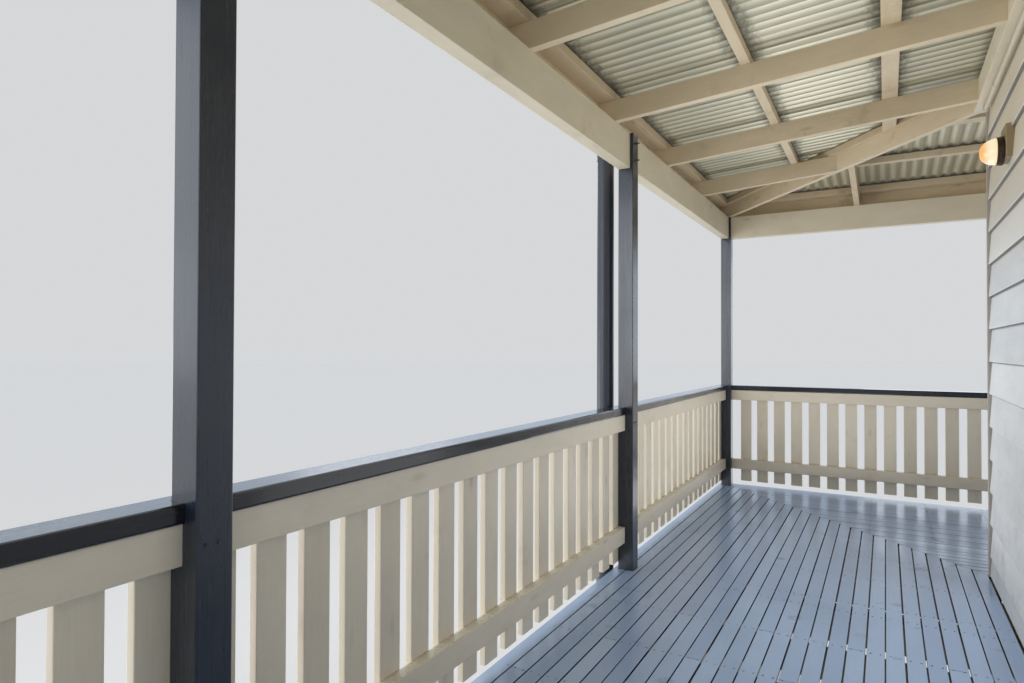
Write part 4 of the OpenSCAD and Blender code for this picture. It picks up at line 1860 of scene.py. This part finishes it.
@dataclass
class Walls(Piece):
    """Weatherboards lapped down both walls, their nails and the corner stop."""

    thin: float = 0.015
    lap: float = 0.195
    top_lap: float = 2.655
    stop: float = 0.006
    foot: float = 0.004
    ease: float = 0.002
    nail_gap: float = 0.450
    nail_from: float = 0.080
    nail_lift: float = 0.028
    nail_r: float = 0.004
    nail_t: float = 0.0008

    def board(self, shape: Shape, arm: Arm, low: float, high: float) -> None:
        """One tapered board, its lower edge thick and eased.

        Args:
            shape: what it is added to.
            arm: its arm.
            low: its lower edge.
            high: its upper edge.
        """
        back = PLAN.wall_line
        slim = self.thin * min(1.0, (high - low) / self.lap)
        soft = self.ease * 0.3
        x = np.array([back, self.ease, soft, 0.0, slim, back])
        z = np.array([low, low, low + soft, low + self.ease, high, high])
        ends = (PLAN.end(arm), -back)
        shape.rings(np.stack([np.stack([x, np.full_like(x, y), z], -1) for y in ends]), arm)

    def nails(self, shape: Shape, arm: Arm, butts: list) -> None:
        """A nail in each board at each stud, a little over its lower edge.

        Args:
            shape: what they are added to.
            arm: their arm.
            butts: heights of the boards' lower edges.
        """
        y, z = grid(np.arange(-self.nail_from, PLAN.end(arm), -self.nail_gap),
                    np.array(butts) + self.nail_lift)
        x = np.full_like(y, self.thin * self.nail_lift / self.lap)
        normal = (-1, 0, 0) if arm is Arm.LONG else (0, 1, 0)
        shape.studs(to_arm(np.stack([x, y, z], -1), arm), normal, self.nail_r, self.nail_t, 6)

    def build(self) -> None:
        """Builds both walls' boards, their nails and the corner stop."""
        p = PLAN
        laps = math.floor(self.top_lap / self.lap)
        butts = [p.deck + self.top_lap - k * self.lap for k in range(laps + 1)]
        finish = BoardPaint("wall_board_paint", "board_paint", round(butts[-1], 4), self.lap, p.deck)
        for arm in Arm:
            shape, nails = Shape(), Shape()
            for low, high in zip(butts + [p.deck + self.foot], [p.ledger_z] + butts):
                self.board(shape, arm, low, high)
            self.nails(nails, arm, butts)
            self.settle(shape.build(f"{arm.value}_wall_boards"), finish,
                        f"{arm.value}_weatherboards")
            self.settle(nails.build(f"{arm.value}_wall_nails"), finish)
            dress(f"{arm.value}_wall", LINING)
        shape = Shape()
        size = (-self.stop, p.wall_line, -p.wall_line, self.stop)
        shape.timber(Axis.Z, [Cut(p.deck, *size), Cut(p.ledger_z, *size)])
        self.settle(shape.build("corner_stop_timber"), STOP, "corner_stop")


@dataclass
class Fittings(Piece):
    """The conduit under the ledger and the bulkhead lamp.

    run is the lamp's place along the long arm, lift its height above the deck and reach the
    length of its glass.
    """

    conduit_r: float = 0.0125
    conduit_in: float = 0.002
    conduit_drop: float = 0.008
    conduit_from: float = 0.070
    couplings: tuple = (0.440, 3.440)
    coupling_t: float = 0.003
    coupling_w: float = 0.055
    saddles: tuple = (0.080, 1.900, 4.300)
    saddle_w: float = 0.020
    saddle_ease: float = 0.003
    run: float = 0.790
    lift: float = 2.362
    block: float = 0.165
    block_t: float = 0.022
    block_in: float = 0.014
    block_below: float = 0.3
    block_ease: float = 0.004
    lamp_r: float = 0.067
    base_t: float = 0.017
    glass_in: float = 0.002
    glass_r: float = 0.98
    reach: float = 0.081
    fullness: float = 0.8
    brightest: float = 0.4

    def lathe(self, shape: Shape, radii: np.ndarray, out: np.ndarray) -> None:
        """Turns a section about the lamp's own axis, which points out from the wall.

        Args:
            shape: what it is added to.
            radii: distances from the axis.
            out: distances from the block's face.
        """
        turn = full_turn(48)
        y = -self.run + radii[:, None] * np.cos(turn)
        z = PLAN.deck + self.lift + radii[:, None] * np.sin(turn)
        x = -self.block_t - out[:, None] + 0 * y
        shape.rings(np.stack([x, y, z], -1))

    def lamp(self) -> None:
        """The block, the dark ring and the egg of opal glass.

        The egg's distance from the axis is a cosine raised to a power below one, which makes it
        full, and its reach is a sine.
        """
        low = PLAN.deck + self.lift - self.block * self.block_below
        block = Shape()
        size = (-self.block_t, self.block_in, -self.run - self.block / 2,
                -self.run + self.block / 2)
        block.timber(Axis.Z, [Cut(low, *size), Cut(low + self.block, *size)], self.block_ease)
        self.settle(block.build("lamp_block_timber"), BLOCK, "lamp_block")
        base = Shape()
        rim = self.base_t + self.glass_in
        radii = np.array([0.80, 1.02, 1.07, 1.07, 1.04, 1.04, 1.01, 1.01]) * self.lamp_r
        out = np.array([0.0, 0.0, 0.004, self.base_t, rim, self.base_t + 0.012,
                        self.base_t + 0.014, self.base_t])
        self.lathe(base, radii, out)
        self.settle(base.build("lamp_ring", 35.0), LAMP_RING, "lamp_base")
        angle = np.radians(np.linspace(0.0, 89.0, 20))[1:]
        foot = self.lamp_r * self.glass_r
        radii = np.concatenate([[foot, foot], self.lamp_r * np.cos(angle) ** self.fullness])
        out = np.concatenate([[self.base_t, rim], rim + self.reach * np.sin(angle)])
        glass = Shape()
        self.lathe(glass, radii, out)
        edge = -self.block_t - rim
        finish = LampGlass("opal_glass", "lamp_glass",
                           across_at(Arm.LONG, edge - self.brightest * self.reach),
                           across_at(Arm.LONG, edge))
        self.settle(glass.build("lamp_egg", 60.0), finish, "lamp_glass")

    def conduit(self) -> None:
        """The conduit, its couplings and its saddles, under the long arm's ledger."""
        x = -self.conduit_r - self.conduit_in
        z = PLAN.ledger_z - self.conduit_r - self.conduit_drop
        turn = full_turn(24)
        shape = Shape()
        tubes = [(self.conduit_r, -self.conduit_from, PLAN.end(Arm.LONG))]
        tubes += [(self.conduit_r + self.coupling_t, -y, -y - self.coupling_w)
                  for y in self.couplings]
        for radius, y0, y1 in tubes:
            rings = [np.stack([x + radius * np.cos(turn), np.full_like(turn, y),
                               z + radius * np.sin(turn)], -1) for y in (y0, y1)]
            shape.rings(np.stack(rings))
        half = self.conduit_r + self.conduit_in
        size = (x - half, x + half, z - half, PLAN.ledger_z)
        for y in self.saddles:
            shape.timber(Axis.Y, [Cut(-y - self.saddle_w, *size), Cut(-y, *size)],
                         self.saddle_ease)
        self.settle(shape.build("conduit_run", 40.0), CONDUIT, "conduit")

    def build(self) -> None:
        """Builds the conduit and the lamp."""
        self.conduit()
        self.lamp()


@dataclass(frozen=True)
class Lamp:
    """An oblong area lamp aimed at a point of the plan, its power in watts."""

    name: str
    place: tuple
    target: tuple
    size: tuple
    power: float
    spread: float = 180.0

    def hang(self) -> None:
        """Adds the lamp to the scene, its second side upright or along the arm."""
        data = bpy.data.lights.new(self.name, "AREA")
        data.shape = "RECTANGLE"
        data.size, data.size_y = self.size
        data.spread = math.radians(self.spread)
        data.energy = self.power
        lamp = bpy.data.objects.new(self.name, data)
        here = Vector(PLAN.origin() + np.array(self.place))
        there = Vector(PLAN.origin() + np.array(self.target))
        turn = (there - here).to_track_quat("-Z", "Y").to_matrix().to_4x4()
        lamp.matrix_world = Matrix.Translation(here) @ turn
        bpy.context.scene.collection.objects.link(lamp)


LAMPS = (
    Lamp("key", (-11.0, -9.0, 6.5), (-0.6, -1.5, 3.6), (6.0, 6.0), 115.0),
    Lamp("high_fill", (-9.0, 5.0, 8.0), (-0.9, -1.5, 2.7), (3.0, 3.0), 100.0),
    Lamp("front_fill", (-8.0, -9.0, 2.9), (-1.2, 0.5, 3.6), (5.0, 5.0), 37.0),
    Lamp("low_fill", (-7.0, -2.5, 2.4), (-0.8, -1.5, 5.6), (4.0, 4.0), 78.0, 120.0),
    Lamp("near_fill", (-6.2, -12.5, 5.2), (-1.9, 0.0, 4.6), (3.5, 5.0), 230.0),
    Lamp("far_fill", (1.5, 10.0, 3.6), (0.0, 0.0, 4.6), (5.0, 5.0), 46.0),
    Lamp("wall_glow", (-0.06, -1.3, 3.6), (-2.0, -1.3, 3.5), (1.8, 3.0), 10.6, 150.0),
    Lamp("deck_glow", (-1.0, -2.0, 2.76), (-1.0, -2.0, 5.3), (1.5, 7.0), 7.6, 80.0),
    Lamp("corner_glow", (-0.95, 0.45, 2.76), (-0.95, 0.45, 5.3), (1.0, 1.8), 12.0, 170.0),
)


@dataclass
class Studio:
    """The floor, the lamps, the pale surroundings and the camera."""

    lens: float = 22.744
    sensor: float = 36.0
    pitch: float = 0.01239
    yaw: float = 0.52385
    roll: float = 0.00308
    eye: tuple = (-0.5387, -4.8359, 1.3544)
    near: float = 0.05
    far: float = 200.0
    sky: tuple = (1.0, 1.0, 1.0, 1.0)
    seen_sky: tuple = (0.67, 0.68, 0.69, 1.0)
    mirrored_sky: tuple = (0.70, 0.80, 0.94, 1.0)
    ground: tuple = (0.66, 0.67, 0.68, 1.0)
    ground_rough: float = 0.9
    half: float = 400.0

    def camera(self) -> None:
        """Places the camera where the photograph was taken from."""
        data = bpy.data.cameras.new("view")
        data.lens = self.lens
        data.sensor_width = self.sensor
        data.clip_start = self.near
        data.clip_end = self.far
        camera = bpy.data.objects.new("view", data)
        place = PLAN.origin() + np.array(self.eye) + np.array([0.0, 0.0, PLAN.deck])
        turn = (Matrix.Rotation(self.yaw, 4, "Z")
                @ Matrix.Rotation(math.pi / 2 + self.pitch, 4, "X")
                @ Matrix.Rotation(self.roll, 4, "Z"))
        camera.matrix_world = Matrix.Translation(Vector(place)) @ turn
        bpy.context.scene.collection.objects.link(camera)
        bpy.context.scene.camera = camera

    def world(self) -> None:
        """Even white light, which the camera sees as pale grey and a gloss as pale blue."""
        world = bpy.data.worlds.new("surroundings")
        world.use_nodes = True
        bpy.context.scene.world = world
        back = world.node_tree.nodes["Background"]
        back.inputs["Color"].default_value = self.sky
        back.inputs["Strength"].default_value = 1.0
        nodes, links = world.node_tree.nodes, world.node_tree.links
        path = nodes.new("ShaderNodeLightPath")
        shown = back.outputs[0]
        for ray, colour in (("Is Glossy Ray", self.mirrored_sky),
                            ("Is Transmission Ray", self.seen_sky),
                            ("Is Camera Ray", self.seen_sky)):
            sky = nodes.new("ShaderNodeBackground")
            sky.inputs["Color"].default_value = colour
            mixed = nodes.new("ShaderNodeMixShader")
            links.new(path.outputs[ray], mixed.inputs["Fac"])
            links.new(shown, mixed.inputs[1])
            links.new(sky.outputs[0], mixed.inputs[2])
            shown = mixed.outputs[0]
        links.new(shown, nodes["World Output"].inputs["Surface"])

    def floor(self) -> None:
        """A wide pale floor at ground level."""
        mesh = bpy.data.meshes.new("floor")
        sides = ((-1, -1), (1, -1), (1, 1), (-1, 1))
        corners = [(a * self.half, b * self.half, 0.0) for a, b in sides]
        mesh.from_pydata(corners, [], [[0, 1, 2, 3]])
        floor = bpy.data.objects.new("floor", mesh)
        bpy.context.scene.collection.objects.link(floor)
        g = Graph("floor_paint")
        mesh.materials.append(g.surface(self.ground, self.ground_rough))

    def build(self) -> None:
        """Sets the whole stage."""
        self.camera()
        self.world()
        self.floor()
        for lamp in LAMPS:
            lamp.hang()
        bpy.context.scene.view_settings.view_transform = "Standard"


def main() -> None:
    """Builds the sub-assemblies in order."""
    logging.basicConfig(level=logging.INFO, format="%(message)s")
    Studio().build()
    under = Understructure()
    for part in (under, Deck(under), Posts(), Beams(), Balustrade(), RoofFrame(), RoofSkin(),
                 RainGoods(), Walls(), Fittings()):
        part.build()
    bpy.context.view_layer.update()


if __name__ == "__main__":
    main()
